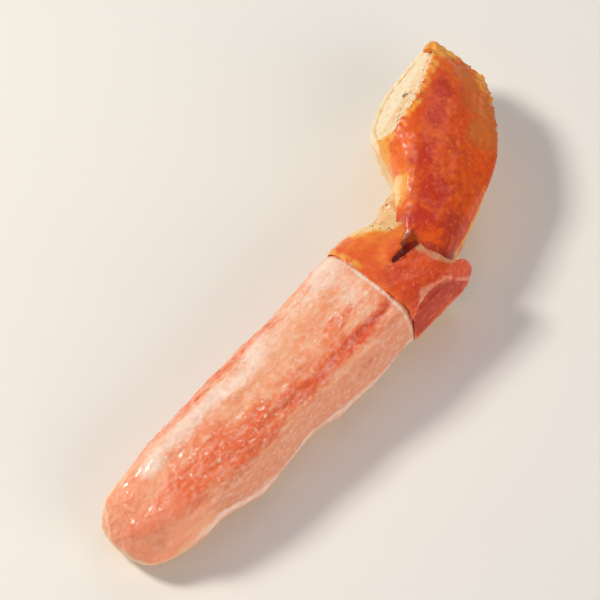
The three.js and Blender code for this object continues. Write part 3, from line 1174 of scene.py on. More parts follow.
@dataclass(frozen=True)
class Strip:
    """A strip of a mask along the arm, and where along the arm it rises and fades."""

    angle: float
    width: float
    strength: float = 1.0
    rise: Limits | None = None
    fade: Limits | None = None

    def on(self, at: Shares, angle: Shares) -> Shares:
        """The strip's share at points whose place along and angle round the arm are given."""
        along = [ease(at, *limits) for limits in (self.rise, self.fade) if limits]
        return self.strength * strip(angle, self.angle, self.width) * math.prod(along)


@dataclass
class ArmMeat(Piece):
    """The peeled meat of the long arm segment."""

    name: str = "peeled_arm_meat"
    node: str = "arm_meat"
    slot: str = "peeled_meat"
    finish: Finish = MeatFinish()
    end_rounding: tuple[Limits, ...] = ((0.0, 0.5), (0.7, 0.8), (2.0, 0.96))  # place, share
    rings: Limits = (4.5, 5.0)  # the first plain ring and the step to the next
    full_from: float = 63.0  # the section that is kept up to the cut
    full_rings: tuple[float, ...] = (63.2, 64.6, 65.0)
    tucked_rings: tuple[float, ...] = (65.5, 67.0)  # under the shell
    tucked: float = 0.45
    slim_rings: tuple[float, ...] = (68.5, 70.0)  # inside the joint
    slim: float = 0.9
    dents: tuple[Dent, ...] = (Dent(ARM_RIDGE, 14.0, 0.55), Dent(ARM_FLANK, 20.0, -0.45))
    foot: tuple[float, float, float] = (1.5, 2.4, 4.0)  # what the free end is turned about
    slant: float = 7.0  # how far the free end is cut askew
    end_slope: float = 22.0  # how far its face leans back
    slope_steps: tuple[Limits, ...] = ((3.0, 0.5), (5.5, 0.3), (10.5, 0.2))  # up to where, share
    cut_blend: Limits = (46.0, 60.0)  # where the rings begin to lean as the cut does
    face_size: float = 0.27
    reliefs: tuple[Relief, ...] = (
        Relief(Growth.LUMPS, 30.0, 3.4, 0.8, depth=1),
        Relief(Growth.LUMPS, 11.0, 6.0, 1.1, depth=1, at=(0.3, 0.1, 0.0)),
        Relief(Growth.LUMPS, 5.0, 1.2, 0.3, depth=1, at=(0.1, 0.7, 0.0)),
        Relief(Growth.GRAINS, 1.2, 0.9, 0.3, at=(0.6, 0.2, 0.0)),
    )
    streak_angle: float = 130.0
    low_flank: float = 196.0
    # the wavy low flank: the middle of each bulge or dip, half its length and how far it goes
    bulges: tuple[tuple[float, float, float], ...] = (
        (15.0, 3.5, -0.3),
        (25.5, 5.0, 1.0),
        (37.0, 4.0, -0.6),
        (48.0, 5.5, 0.3),
        (58.0, 4.0, -0.3),
    )
    # the pale band along the upper left: pale meat with a painted highlight laid along it, where
    # the wet sheen runs
    pale_sheen_band: tuple[Strip, ...] = (
        Strip(61.0, 15.0, 1.3, rise=(5.0, 13.0), fade=(46.0, 32.0)),
        Strip(52.0, 22.0, 0.75, rise=(26.0, 38.0)),
    )
    # pale marks before the cut: strength, how far before it, length, angle and width; the first is
    # partly a painted highlight, like the pale band
    pale_by_cut: tuple[tuple[float, ...], ...] = (
        (1.2, 4.0, 4.6, 50.0, 26.0),
        (0.6, 4.5, 4.0, 95.0, 26.0),
        (0.95, 0.3, 0.5, 110.0, 90.0),
    )
    pale_line: Strip = Strip(196.0, 8.0, 0.85, rise=(4.0, 14.0))
    # where the painted glints cluster
    glint_dotted: tuple[Strip, ...] = (
        Strip(112.0, 34.0, rise=(8.0, 17.0), fade=(50.0, 36.0)),
        Strip(98.0, 22.0, 0.7, rise=(30.0, 40.0)),
    )
    behind: tuple[float, float, float] = (0.485, 0.379, -0.788)  # where the free end is cream

    def sections(self) -> list[Section]:
        """The sections that the cage is drawn through, rounded at the free end.

        Returns:
            The sections in order.
        """
        made = []
        for at, drawn in self.end_rounding:
            whole = between(ARM_SECTIONS, at)
            half = (whole.high - whole.low) / 2 * drawn
            low, high = whole.middle.z - half, whole.middle.z + half
            side = whole.left * drawn
            made.append(replace(whole, left=side, right=side, low=low, high=high))
        at, step = self.rings
        while at < self.full_from - 1:
            made.append(between(ARM_SECTIONS, at))
            at += step
        full = between(ARM_SECTIONS, self.full_from)
        inside = between(ARM_SECTIONS, self.slim_rings[-1])
        made += [replace(full, at=at) for at in self.full_rings]
        made += [replace(inside, at=at).grown(self.tucked) for at in self.tucked_rings]
        made += [replace(inside, at=at).grown(-self.slim) for at in self.slim_rings]
        return made

    def shape(self) -> Object:
        """Draws the meat out, then works in its furrows, lumps and grain.

        Returns:
            The mesh, on the arm's own frame.
        """
        piece = Cage("meat", self.sections()).build()
        for dent in self.dents:
            dent.push(ARM_SECTIONS)
        self.cut_end()
        close_mesh()
        round_off(piece)
        points = places_of(piece)
        points[:, 0] += cut_lean(points) * ease(points[:, 0], *self.cut_blend)
        put_places(piece, points)
        knit(piece, self.face_size)
        soften(piece, 2)
        points = places_of(piece)
        free = self.free(points)
        calm = 1.0 - 0.85 * ease(points[:, 0], 16.0, 10.0)  # the free end's grain
        for relief in self.reliefs:
            relief.apply(piece, free * calm if relief.growth is Growth.GRAINS else free)
        press(piece, self.furrow)
        press_flat(piece)
        return piece

    def cut_end(self) -> None:
        """Leans the open cage's free end back in steps, then turns its tip askew."""
        foot = Vector(self.foot) * MM
        turns = [("Y", reach, -self.end_slope * share) for reach, share in self.slope_steps]
        turns.append(("Z", self.slope_steps[0][0], self.slant))
        for axis, reach, turn in turns:
            choose(lambda p: p.x < reach * MM)
            bpy.ops.transform.rotate(
                value=math.radians(turn), orient_axis=axis, center_override=foot
            )

    def furrow(self, points: Points) -> Shares:
        """The furrow under the streak, the ridge beside it and the wavy flank.

        Args:
            points: places in millimetres.

        Returns:
            How far each point moves out.
        """
        at = points[:, 0]
        angle = arm_angles(points) + 3.0 * waver(points, 16.0, 0.4)
        cut = -0.35 * strip(angle, self.streak_angle, 5.0) + 0.25 * strip(angle, 143.0, 6.0)
        waves = sum(out * bump(at - middle, width) for middle, width, out in self.bulges)
        along = ease(at, 10.0, 24.0) * ease(at, 64.0, 58.0)
        return along * cut + waves * strip(angle, self.low_flank, 34.0)

    def free(self, points: Points) -> Shares:
        """Where relief may grow: on the peeled stretch, and hardly where it lies pressed."""
        peeled = ease(beyond_cut(points), -0.4, -4.0)
        return peeled * (1 - 0.85 * strip(arm_angles(points), 270.0, 50.0))

    def masks(self, piece: Object) -> dict[str, Shares]:
        """Marks where the pigment streaks, pales (partly a painted highlight) and turns to cream,
        and where the painted glints gather.

        Args:
            piece: the mesh.

        Returns:
            Each mask by its name.
        """
        points = places_of(piece)
        at, to_cut = points[:, 0], beyond_cut(points)
        angle = arm_angles(points) + 4.0 * waver(points, 18.0, 0.4)
        broad = ease(at, 42.0, 18.0)
        main_streak = strip(angle, self.streak_angle - 8.0 * broad, 10.0 + 19.0 * broad)
        short_streak = 0.7 * strip(angle, 104.0, 9.0) * bump(at - 52.0, 7.0)
        left_edge = 0.6 * bump(at - 32.0, 20.0) * ease(angle, 50.0, 40.0) * ease(angle, 10.0, 24.0)
        red = strip(angle, 131.0, 8.0) * bump(at - 47.0, 18.0)
        # the pale band, with its painted highlight
        band = most(*(part.on(at, angle) for part in self.pale_sheen_band))
        by_cut = [
            strength * bump(to_cut + before, length) * strip(angle, centre, width)
            for strength, before, length, centre, width in self.pale_by_cut
        ]
        pale = band * (0.85 + 0.25 * waver(points, 14.0, 1.0))
        under = ease(np.abs(turn_from(angle, 268.0)), 78.0, 48.0) * ease(at, 3.0, 11.0)
        turned_away = per_point(piece, "normal") @ self.behind + 0.1 * waver(points, 5.0, 1.2)
        rim = ease(turned_away, -0.65, -0.2) * ease(at, 15.0, 6.0)
        return {
            "streak": most(main_streak, short_streak, left_edge),
            "red": red * (0.9 + 0.3 * waver(points, 12.0, 2.0)),
            "pale": most(pale, *by_cut, self.pale_line.on(at, angle)),
            "side": ease(angle, 142.0, 151.0) * ease(at, 8.0, 20.0),
            "cream": most(under, rim),
            "glint_dotted": most(*(part.on(at, angle) for part in self.glint_dotted)),
            "plain": ease(at, 15.0, 5.0),
        }


@dataclass
class ShellBand(Piece):
    """The short band of shell left round the arm at the joint."""

    name: str = "shell_band"
    node: str = "arm_shell_band"
    slot: str = "orange_shell"
    finish: Finish = ShellFinish(
        name="band_shell",
        orange=(231, 94, 36),
        bright=(247, 140, 50),
        deep=(208, 66, 38),
        amber=(208, 140, 98),
        line=(238, 160, 132),
        # pinkish flecks: painted highlights
        fleck_and_glint=(250, 140, 96),
    )
    around: int = 120
    rings: int = 4
    split_angle: float = 100.0
    # where the band ends, by angle: short on the left, a lobe on the back, long on the right
    reaches: tuple[Limits, ...] = (
        (-90.0, 8.0),
        (-35.0, 4.0),
        (12.0, 2.4),
        (30.0, 2.9),
        (45.0, 4.2),
        (58.0, 5.6),
        (72.0, 7.0),
        (84.0, 9.2),
        (87.0, 8.0),
        (99.0, 0.0),
        (102.0, 7.4),
        (106.0, 7.0),
        (114.0, 6.9),
        (128.0, 7.7),
        (143.0, 9.2),
        (152.0, 10.8),
        (165.0, 12.3),
        (178.0, 12.6),
        (215.0, 11.5),
        (270.0, 8.0),
    )
    bead_count: int = 12
    bead_height: float = 0.25
    cut_waver: float = 0.2
    rim_crease: float = 0.4
    dents: tuple[Dent, ...] = (
        Dent(ARM_RIDGE, 9.0, 0.25),
        Dent(ARM_RIDGE, 17.0, 0.3),
        Dent(ARM_FLANK, 14.0, -0.2),
        Dent(ARM_FLANK, 26.0, -0.25),
    )
    granules: Relief = Relief(Growth.GRAINS, 1.7, 1.4, 0.34, at=(0.2, 0.3, 0.0))
    granulated: Limits = (108.0, 48.0)  # the angle of their middle and their width

    def reach(self, angle: Shares | float) -> Shares | float:
        """How far the band reaches from BAND_START at an angle.

        Args:
            angle: one angle or many.

        Returns:
            As many reaches.
        """
        whole = turn_from(angle, 90.0) + 90.0
        drawn = np.interp(whole, *zip(*self.reaches))
        bead = self.bead_height * (1.0 - strip(angle, self.split_angle - 8.0, 22.0))
        return drawn + bead * np.cos(np.radians(self.bead_count * angle))

    def lean(self, angle: float) -> float:
        """Where the cut lies on the band at an angle.

        Args:
            angle: the angle.

        Returns:
            Its place, measured from BAND_START.
        """
        side, half = MEAT_SIDE + SKIN_OVER_MEAT, MEAT_HALF + SKIN_OVER_MEAT
        place = Vector((0.0, side, half)) * way_out(angle) + Vector((0.0, 0.0, MEAT_MIDDLE))
        return float(cut_lean(np.array([place]))[0])

    def shape(self) -> Object:
        """Draws the band out and cuts both its edges.

        Returns:
            The mesh, on the arm's own frame.
        """
        start = meat_section(BAND_START, MEAT_SIDE, MEAT_LOW, MEAT_TOP, 0.0).grown(SKIN_OVER_MEAT)
        sections = [replace(start, at=BAND_START + k) for k in range(self.rings + 1)]
        piece = Cage("band", sections, around=self.around).build(closed=False)
        for dent in self.dents:
            dent.push(ARM_SECTIONS)
        for k in range(self.around):
            self.cut_edges(360.0 * k / self.around)
        close_mesh()
        give_wall(piece, SHELL_WALL, self.rim_crease)
        round_off(piece)
        open_mesh(piece)
        bpy.ops.mesh.remove_doubles(threshold=EPSILON)
        face_outwards()
        close_mesh()
        press(piece, self.relief)
        self.granules.apply(piece, strip(arm_angles(places_of(piece)), *self.granulated))
        press_flat(piece)
        return piece

    def cut_edges(self, angle: float) -> None:
        """Stretches one lengthwise row of the open band from the cut to its front edge.

        Args:
            angle: the row's angle.
        """
        lean = self.lean(angle)

        def on_row(p: Vector) -> bool:
            """Whether a point lies on this row."""
            return abs(turn_from(self.row_angle(p), angle)) < 180.0 / self.around

        choose(on_row)
        bpy.ops.transform.resize(
            value=((self.reach(angle) - lean) / self.rings, 1.0, 1.0),
            center_override=(BAND_START * MM, 0.0, 0.0),
        )
        bpy.ops.transform.translate(value=(lean * MM, 0.0, 0.0))
        choose(lambda p: p.x < (BAND_START + lean + 0.01) * MM and on_row(p))
        shift = self.cut_waver * math.sin(math.radians(3 * angle))
        bpy.ops.transform.translate(value=(shift * MM, 0.0, 0.0))

    def row_angle(self, p: Vector) -> float:
        """A point's angle as its share of the ring, whatever the section's fullness.

        Args:
            p: the place in metres.

        Returns:
            The angle.
        """
        across, height = p.y / (MEAT_SIDE * MM), (p.z / MM - MEAT_MIDDLE) / MEAT_HALF
        high, wide = (
            math.copysign(abs(part) ** (1.0 / FULLNESS), part) for part in (height, across)
        )
        return math.degrees(math.atan2(high, wide)) % 360.0

    def relief(self, points: Points) -> Shares:
        """The step beside the split, the ridge and small unevenness.

        Args:
            points: places in millimetres.

        Returns:
            How far each point moves out.
        """
        angle = arm_angles(points)
        beyond = points[:, 0] - BAND_START
        step = 0.7 * ease(turn_from(angle, self.split_angle), 2.0, -2.0) - 0.25
        near = strip(angle, self.split_angle, 20.0) * ease(beyond, -1.5, 3.0)
        off_ridge = turn_from(angle, self.ridge_angle(beyond))
        ridge = 0.15 * bump(off_ridge, 3.5) - 0.2 * bump(off_ridge - 8.0, 5.0)
        rough = 0.12 * waver(points, 4.2, 0.7) + 0.09 * waver(points, 1.9, 2.7)
        return step * near + ridge + rough - 0.25

    def ridge_angle(self, beyond: Shares) -> Shares:
        """The angle of the pale ridge along the flank, by the place along the band."""
        return 148.0 + 0.45 * (beyond - 1.5) ** 2

    def masks(self, piece: Object) -> dict[str, Shares]:
        """Marks the red right side, the flank below the ridge darkened with painted shade, and the
        cream margins.

        Args:
            piece: the mesh.

        Returns:
            Each mask by its name.
        """
        points = places_of(piece)
        angle = arm_angles(points) + 4.0 * waver(points, 9.0, 1.3)
        beyond, from_cut = points[:, 0] - BAND_START, beyond_cut(points)
        within = self.reach(angle) - beyond
        off_ridge = turn_from(angle, self.ridge_angle(beyond))
        right = 0.75 * ease(angle, 88.0, 112.0) * ease(angle, 215.0, 190.0)
        under = ease(np.abs(turn_from(angle, 270.0)), 82.0, 50.0)
        margin = ease(within, 3.0, 0.6) * ease(angle, 88.0, 66.0)
        width = np.interp(angle, (102.0, 140.0), (1.6, 2.6))
        lip = ease(within, width + 0.5, width - 0.3) * ease(angle, 99.0, 104.0)
        edge = bump(off_ridge, 4.5) * ease(beyond, -7.0, -4.0)
        left_lobe = 0.8 * strip(angle, 52.0, 22.0) * ease(within, 4.0, 1.5)
        crumbs = 0.75 * bump(from_cut - 0.9, 0.9) * ease(angle, 92.0, 74.0)
        return {
            "deep": most(right * ease(beyond, -6.5, -2.5), 0.3 * strip(angle, 76.0, 16.0)),
            # painted shade on the flank below the pale ridge
            "painted_shade_brown": 0.8 * ease(off_ridge, 0.0, 6.0) * ease(angle, 205.0, 180.0),
            "cream": most(under, margin),
            "gold": most(left_lobe, crumbs),
            "amber": 0.95 * lip * ease(angle, 156.0, 144.0),
            "line": most(0.65 * edge, bump(from_cut + 0.1, 0.4)),
            "specks": margin,
        }


# ---- The wrist, laid along +X from the joint, then turned into place ----

WRIST_HALF = 11.5
WRIST_WIDEST = (0.66, 0.56)


def wrist_section(at: float, left: float, right: float, low: float, high: float) -> Section:
    """A section of the wrist; left and right are shares of half its width."""
    return Section(at, left * WRIST_HALF, right * WRIST_HALF, low, high, widest=WRIST_WIDEST)


WRIST_SECTIONS = (
    wrist_section(-9.5, 0.36, 0.36, 4.6, 13.4),
    wrist_section(-5.0, 0.4, 0.48, 3.6, 14.5),
    wrist_section(-1.0, 0.42, 0.64, 2.6, 15.1),
    wrist_section(4.0, 0.42, 0.8, 1.5, 15.6),
    wrist_section(8.5, 0.41, 0.9, 0.7, 16.1),
    wrist_section(12.0, 0.45, 0.98, 0.1, 16.3),
    wrist_section(16.0, 0.64, 1.02, -0.3, 16.4),
    wrist_section(20.0, 0.75, 1.01, -0.3, 16.4),
    wrist_section(26.0, 0.77, 0.94, 0.1, 16.0),
    wrist_section(32.0, 0.64, 0.79, 1.8, 15.2),
    wrist_section(36.0, 0.42, 0.45, 4.8, 14.3),
    wrist_section(39.6, 0.06, 0.05, 11.0, 13.3),
)
NECK_START, WRIST_LENGTH = WRIST_SECTIONS[0].at, 38.6
WRIST_RINGS = (-5.0, -1.0, 3.0, 6.0, 9.0, 12.0, 14.5, 17.0, 20.0, 23.0, 26.0, 29.0, 32.0, 34.4)
KEEL_ANGLE = 170.0  # of the sharp outer edge
WRIST_DENTS = (Dent(KEEL_ANGLE, 5.5, 0.95), Dent(147.0, 11.0, -0.65), Dent(92.0, 17.0, 0.3))
DENT_STRETCHES = ((0.35, (4.0, 7.5)), (0.7, (7.5, 11.0)), (1.0, (11.0, 36.0)))  # share, along
INNER_CORNER = Vector((15.6, 8.2, 12.0))
POINTED_CORNER = Vector((38.0, -0.5, 13.0))
SOCKET_TILT = 38.0  # how far the socket faces up


def socket_normal() -> Vector:
    """The way that the socket faces, in the wrist's own frame.

    Returns:
        A vector of length 1.
    """
    rim = (POINTED_CORNER - INNER_CORNER) * Vector((1, 1, 0))
    rim.normalize()
    tilt = math.radians(SOCKET_TILT)
    return Vector((-rim.y * math.cos(tilt), rim.x * math.cos(tilt), math.sin(tilt)))


def beyond_socket(points: Points) -> Shares:
    """How far points lie out of the socket's plane."""
    return (points - np.array(INNER_CORNER)) @ np.array(socket_normal())


def wrist_cage(name: str, grow: float, start: float, end: float) -> Object:
    """The wrist's form, whole, as a smooth closed body.

    Args:
        name: the object's name.
        grow: how much larger it is than the shell's outside.
        start: where it begins along the wrist.
        end: where it ends.

    Returns:
        The body.
    """
    places = [start, *(at for at in WRIST_RINGS if start <= at < end - 1.0), end]
    sections = [between(WRIST_SECTIONS, at).grown(grow) for at in places]
    piece = Cage(name, sections, around=36, fullness=0.9).build()
    for share, along in DENT_STRETCHES:
        for dent in WRIST_DENTS:
            dent.push(WRIST_SECTIONS, share, along)
    close_mesh()
    round_off(piece)
    return piece


def cut_at_socket(piece: Object, inset: float, filled: bool) -> None:
    """Cuts away what lies out of the socket.

    Args:
        piece: the wrist's form.
        inset: how far inside the socket's plane it is cut.
        filled: whether the cut gets a face.
    """
    normal = socket_normal()
    open_mesh(piece)
    bpy.ops.mesh.bisect(
        plane_co=(INNER_CORNER - normal * inset) * MM,
        plane_no=normal,
        clear_outer=True,
        use_fill=filled,
        threshold=EPSILON,
    )
    close_mesh()


@dataclass
class WristShell(Piece):
    """The shell of the wrist segment, with its sharp outer edge and its little teeth."""

    name: str = "wrist_shell_toothed"
    node: str = "wrist_shell"
    slot: str = "orange_shell"
    finish: Finish = ShellFinish(name="wrist_shell", line=(255, 232, 192))
    seat: Seat = Seat.JOINT
    face_size: float = 0.3
    tooth_height: float = 0.6
    tooth_radius: float = 0.65
    tooth_blunt: float = 0.4  # share of the radius that is left at the point
    tooth_sunk: float = 0.45
    keel_teeth: tuple[float, float, float] = (11.0, 37.0, 1.45)  # first, last and spacing
    rim_spacing: float = 1.15
    rim_low: float = 11.0  # the rim has teeth on the back only, above this height
    rim_last: float = 36.5
    spine: tuple[float, float, float] = (-0.9, 0.0, -0.5)  # its foot, from the pointed corner
    spine_way: tuple[float, float, float] = (1.0, 0.12, 0.12)
    spine_size: float = 1.7
    reliefs: tuple[Relief, ...] = (
        Relief(Growth.LUMPS, 6.0, 4.0, 0.45, depth=1),
        Relief(Growth.LUMPS, 1.5, 1.2, 0.2, at=(0.5, 0.2, 0.1)),
    )
    granules: Relief = Relief(Growth.GRAINS, 0.9, 0.9, 0.5)
    # where the shell is deepest red: along the wrist, across it, its two reaches and its strength
    red_patches: tuple[tuple[float, ...], ...] = (
        (26.0, -3.2, 4.5, 2.4, 1.0),
        (20.0, -1.8, 5.0, 2.8, 0.9),
        (11.5, -0.4, 5.5, 3.0, 0.9),
        (4.0, -2.4, 5.0, 4.2, 1.0),
        (-1.5, 0.0, 3.0, 5.0, 1.0),
    )
    teeth: list[Object] = field(default_factory=list)

    def shape(self) -> Object:
        """Draws the body out, opens the socket, gives it its wall and sets the teeth.

        Returns:
            The mesh, in the wrist's own frame.
        """
        piece = wrist_cage("shell", 0.0, NECK_START, WRIST_LENGTH + 1.0)
        self.set_keel_teeth(piece)
        cut_at_socket(piece, 0.0, filled=False)
        self.set_rim_teeth(piece)
        give_wall(piece, SHELL_WALL)
        foot = (POINTED_CORNER + Vector(self.spine)) * MM
        self.tooth(foot, Vector(self.spine_way), self.spine_size)
        work_on(piece)
        for tooth in self.teeth:
            tooth.select_set(True)
        bpy.ops.object.join()
        knit(piece, self.face_size)
        soften(piece, 2, 0.4)
        for relief in self.reliefs:
            relief.apply(piece)
        self.granules.apply(piece, self.granulated(places_of(piece)))
        press_flat(piece)
        return piece

    def granulated(self, points: Points) -> Shares:
        """Where small granules grow: on the tip, the inner corner and the keel.

        Args:
            points: places in millimetres.

        Returns:
            The share of their height.
        """
        at, across, _ = points.T
        angle = angles_round(WRIST_SECTIONS, points)
        keel = strip(angle, KEEL_ANGLE - 2.0, 12.0) * ease(at, 18.0, 28.0)
        corner = bump(at - 15.8, 3.0) * ease(across, 5.4, 7.6)
        return most(ease(at, 31.0, 35.0), keel, corner)

    def tooth(self, foot: Vector, outward: Vector, scale: float) -> None:
        """Sets one tooth.

        Args:
            foot: where it stands, in metres.
            outward: the way it points.
            scale: its size, 1 for a plain one.
        """
        clear_selection()
        length = (self.tooth_height * scale + self.tooth_sunk) * MM
        radius = self.tooth_radius * scale * MM
        bpy.ops.mesh.primitive_cone_add(
            vertices=6, radius1=radius, radius2=self.tooth_blunt * radius, depth=length
        )
        one = bpy.context.object
        one.rotation_mode = "QUATERNION"
        one.rotation_quaternion = outward.to_track_quat("Z", "Y")
        one.location = foot + outward.normalized() * (length / 2 - self.tooth_sunk * MM)
        settle(one)
        self.teeth.append(one)

    def set_keel_teeth(self, body: Object) -> None:
        """Sets the row of teeth on the sharp outer edge, uneven in size and spacing.

        Args:
            body: the wrist's form, still whole.
        """
        first, last, spacing = self.keel_teeth
        count = math.ceil((last - first) / spacing)
        way = way_out(KEEL_ANGLE)
        for i in range(count + 1):
            at = first + (last - first) * i / count + 0.4 * math.sin(3.7 * i)
            start = between(WRIST_SECTIONS, at).middle * MM
            found, foot, normal, _ = body.ray_cast(start, way)
            if found:
                scale = (0.35 + 0.5 * abs(math.sin(2.4 * i))) * (0.6 + at / 60.0)
                self.tooth(foot, (normal + way).normalized(), scale)

    def set_rim_teeth(self, body: Object) -> None:
        """Sets the row of teeth along the socket's rim, on the back only.

        Args:
            body: the wrist's form, cut open at the socket.
        """
        mesh = bmesh.new()
        mesh.from_mesh(body.data)
        rim = {v.index: v for e in mesh.edges if e.is_boundary for v in e.verts}.values()
        rim = [(v.co.copy(), v.normal.copy()) for v in sorted(rim, key=lambda v: v.co.x)]
        mesh.free()
        last = -1.0
        on_back = [row for row in rim if row[0].z > self.rim_low * MM]
        for i, (foot, normal) in enumerate(on_back):
            if foot.x - last < self.rim_spacing * MM or foot.x > self.rim_last * MM:
                continue
            last = foot.x
            way = (normal + 0.9 * socket_normal()).normalized()
            scale = 0.8 + 0.5 * abs(math.sin(1.9 * i))
            self.tooth(foot - way * self.tooth_sunk * MM, way, scale)

    def masks(self, piece: Object) -> dict[str, Shares]:
        """Marks the red strip, the amber trough, the gold tip, the cream sides and the painted
        shade by the band.

        Args:
            piece: the mesh.

        Returns:
            Each mask by its name.
        """
        points = places_of(piece)
        at, across, height = points.T
        angle = angles_round(WRIST_SECTIONS, points)
        wander = waver(points, 9.0, 0.9)
        patches = [
            share * bump(at - u, long) * bump(across - y + 0.5 * wander, wide)
            for u, y, long, wide, share in self.red_patches
        ]
        outer = 0.5 * ease(across + 0.8 * wander, 2.6, 0.6) * ease(at, 32.0, 26.0)
        trough = ease(angle + 5 * wander, 134.0, 156.0) * ease(at, 10.0, 20.0)
        tip = ease(at + 1.2 * wander, 32.5, 37.0)
        keel = strip(angle, KEEL_ANGLE, 9.0) * ease(at, 20.0, 31.0)
        off_rim = beyond_socket(points) + 0.2
        rim = bump(off_rim, 1.0) * (0.6 + 0.5 * waver(points, 2.6, 0.5)) * ease(height, 10.0, 12.0)
        low_rim = 1.3 * bump(off_rim, 1.6) * ease(height, 12.0, 10.0)
        corner = bump(at - 14.4, 3.8) * ease(across, 4.6, 6.4)
        line = strip(angle, 150.0 + 3.0 * wander, 1.8) * bump(at - 21.5, 4.5)
        below = np.abs(turn_from(angle, 282.0)) + 4.0 * waver(points, 6.0, 2.2)
        border = 0.8 * bump(below - 92.0, 12.0)
        neck = ease(at + 0.8 * wander, 11.0, 7.0) * ease(at + 0.8 * wander, -0.5, 4.0)
        neck_edge = 0.9 * neck * ease(across, 1.4, 3.4)
        # painted shade: the right of the neck beside the band
        right = 0.7 * ease(at, 4.0, -1.0) * ease(across, -1.0, -5.0)
        return {
            "deep": most(*patches, outer),
            "amber": trough * (0.85 + 0.3 * waver(points, 5.0, 1.6)),
            "gold": most(tip, 0.7 * keel, rim, corner, border, neck_edge),
            # painted shade, also inside the split where the neck begins
            "painted_shade_brown": most(right, ease(at, -5.0, -6.5)),
            "cream": most(ease(below, 96.0, 66.0), low_rim, neck * ease(across, 2.2, 4.4)),
            "line": most(0.45 * line, low_rim),
            "specks": most(rim, 0.25 * tip),
        }


@dataclass
class WristMeat(Piece):
    """The meat inside the wrist, which shows in the socket."""

    name: str = "socket_meat"
    node: str = "wrist_meat"
    slot: str = "socket_meat"
    finish: Finish = SocketFinish()
    seat: Seat = Seat.JOINT
    start: float = -3.5
    inset: float = 0.5
    face_size: float = 0.32
    reliefs: tuple[Relief, ...] = (
        Relief(Growth.LUMPS, 5.0, 2.2, 0.7),
        Relief(Growth.LUMPS, 1.2, 0.9, 0.35, at=(0.2, 0.4, 0.3)),
    )
    spot: tuple[float, float, float] = (28.0, 3.9, 11.5)  # a third of the way from the tip

    def shape(self) -> Object:
        """Draws the meat out, cuts it at the socket and roughens the torn face.

        Returns:
            The mesh, in the wrist's own frame.
        """
        piece = wrist_cage("socket", 0.1 - SHELL_WALL, self.start, WRIST_LENGTH - 0.2)
        cut_at_socket(piece, self.inset, filled=True)
        knit(piece, self.face_size)
        soften(piece, 1)
        face = ease(beyond_socket(places_of(piece)), -1.6, -0.7)
        for relief in self.reliefs:
            relief.apply(piece, face)
        return piece

    def masks(self, piece: Object) -> dict[str, Shares]:
        """Marks the long dark spot, the specks' seam and the white below it.

        Args:
            piece: the mesh.

        Returns:
            Each mask by its name.
        """
        points = places_of(piece)
        along, across, up = (points - self.spot).T
        ragged = 0.4 * waver(points, 1.6, 0.3)
        spot = ease(np.abs(along - 0.5 * across) + ragged, 0.7, 0.3)
        outside = points[:, 2] - 11.0 - 0.11 * (points[:, 0] - 20.0)
        return {
            "spot": 0.9 * spot * ease(np.abs(up) + ragged, 0.9, 0.5),
            "seam": ease(outside, 0.6, 1.6),
            "white": ease(outside, 1.0, -2.0),
        }


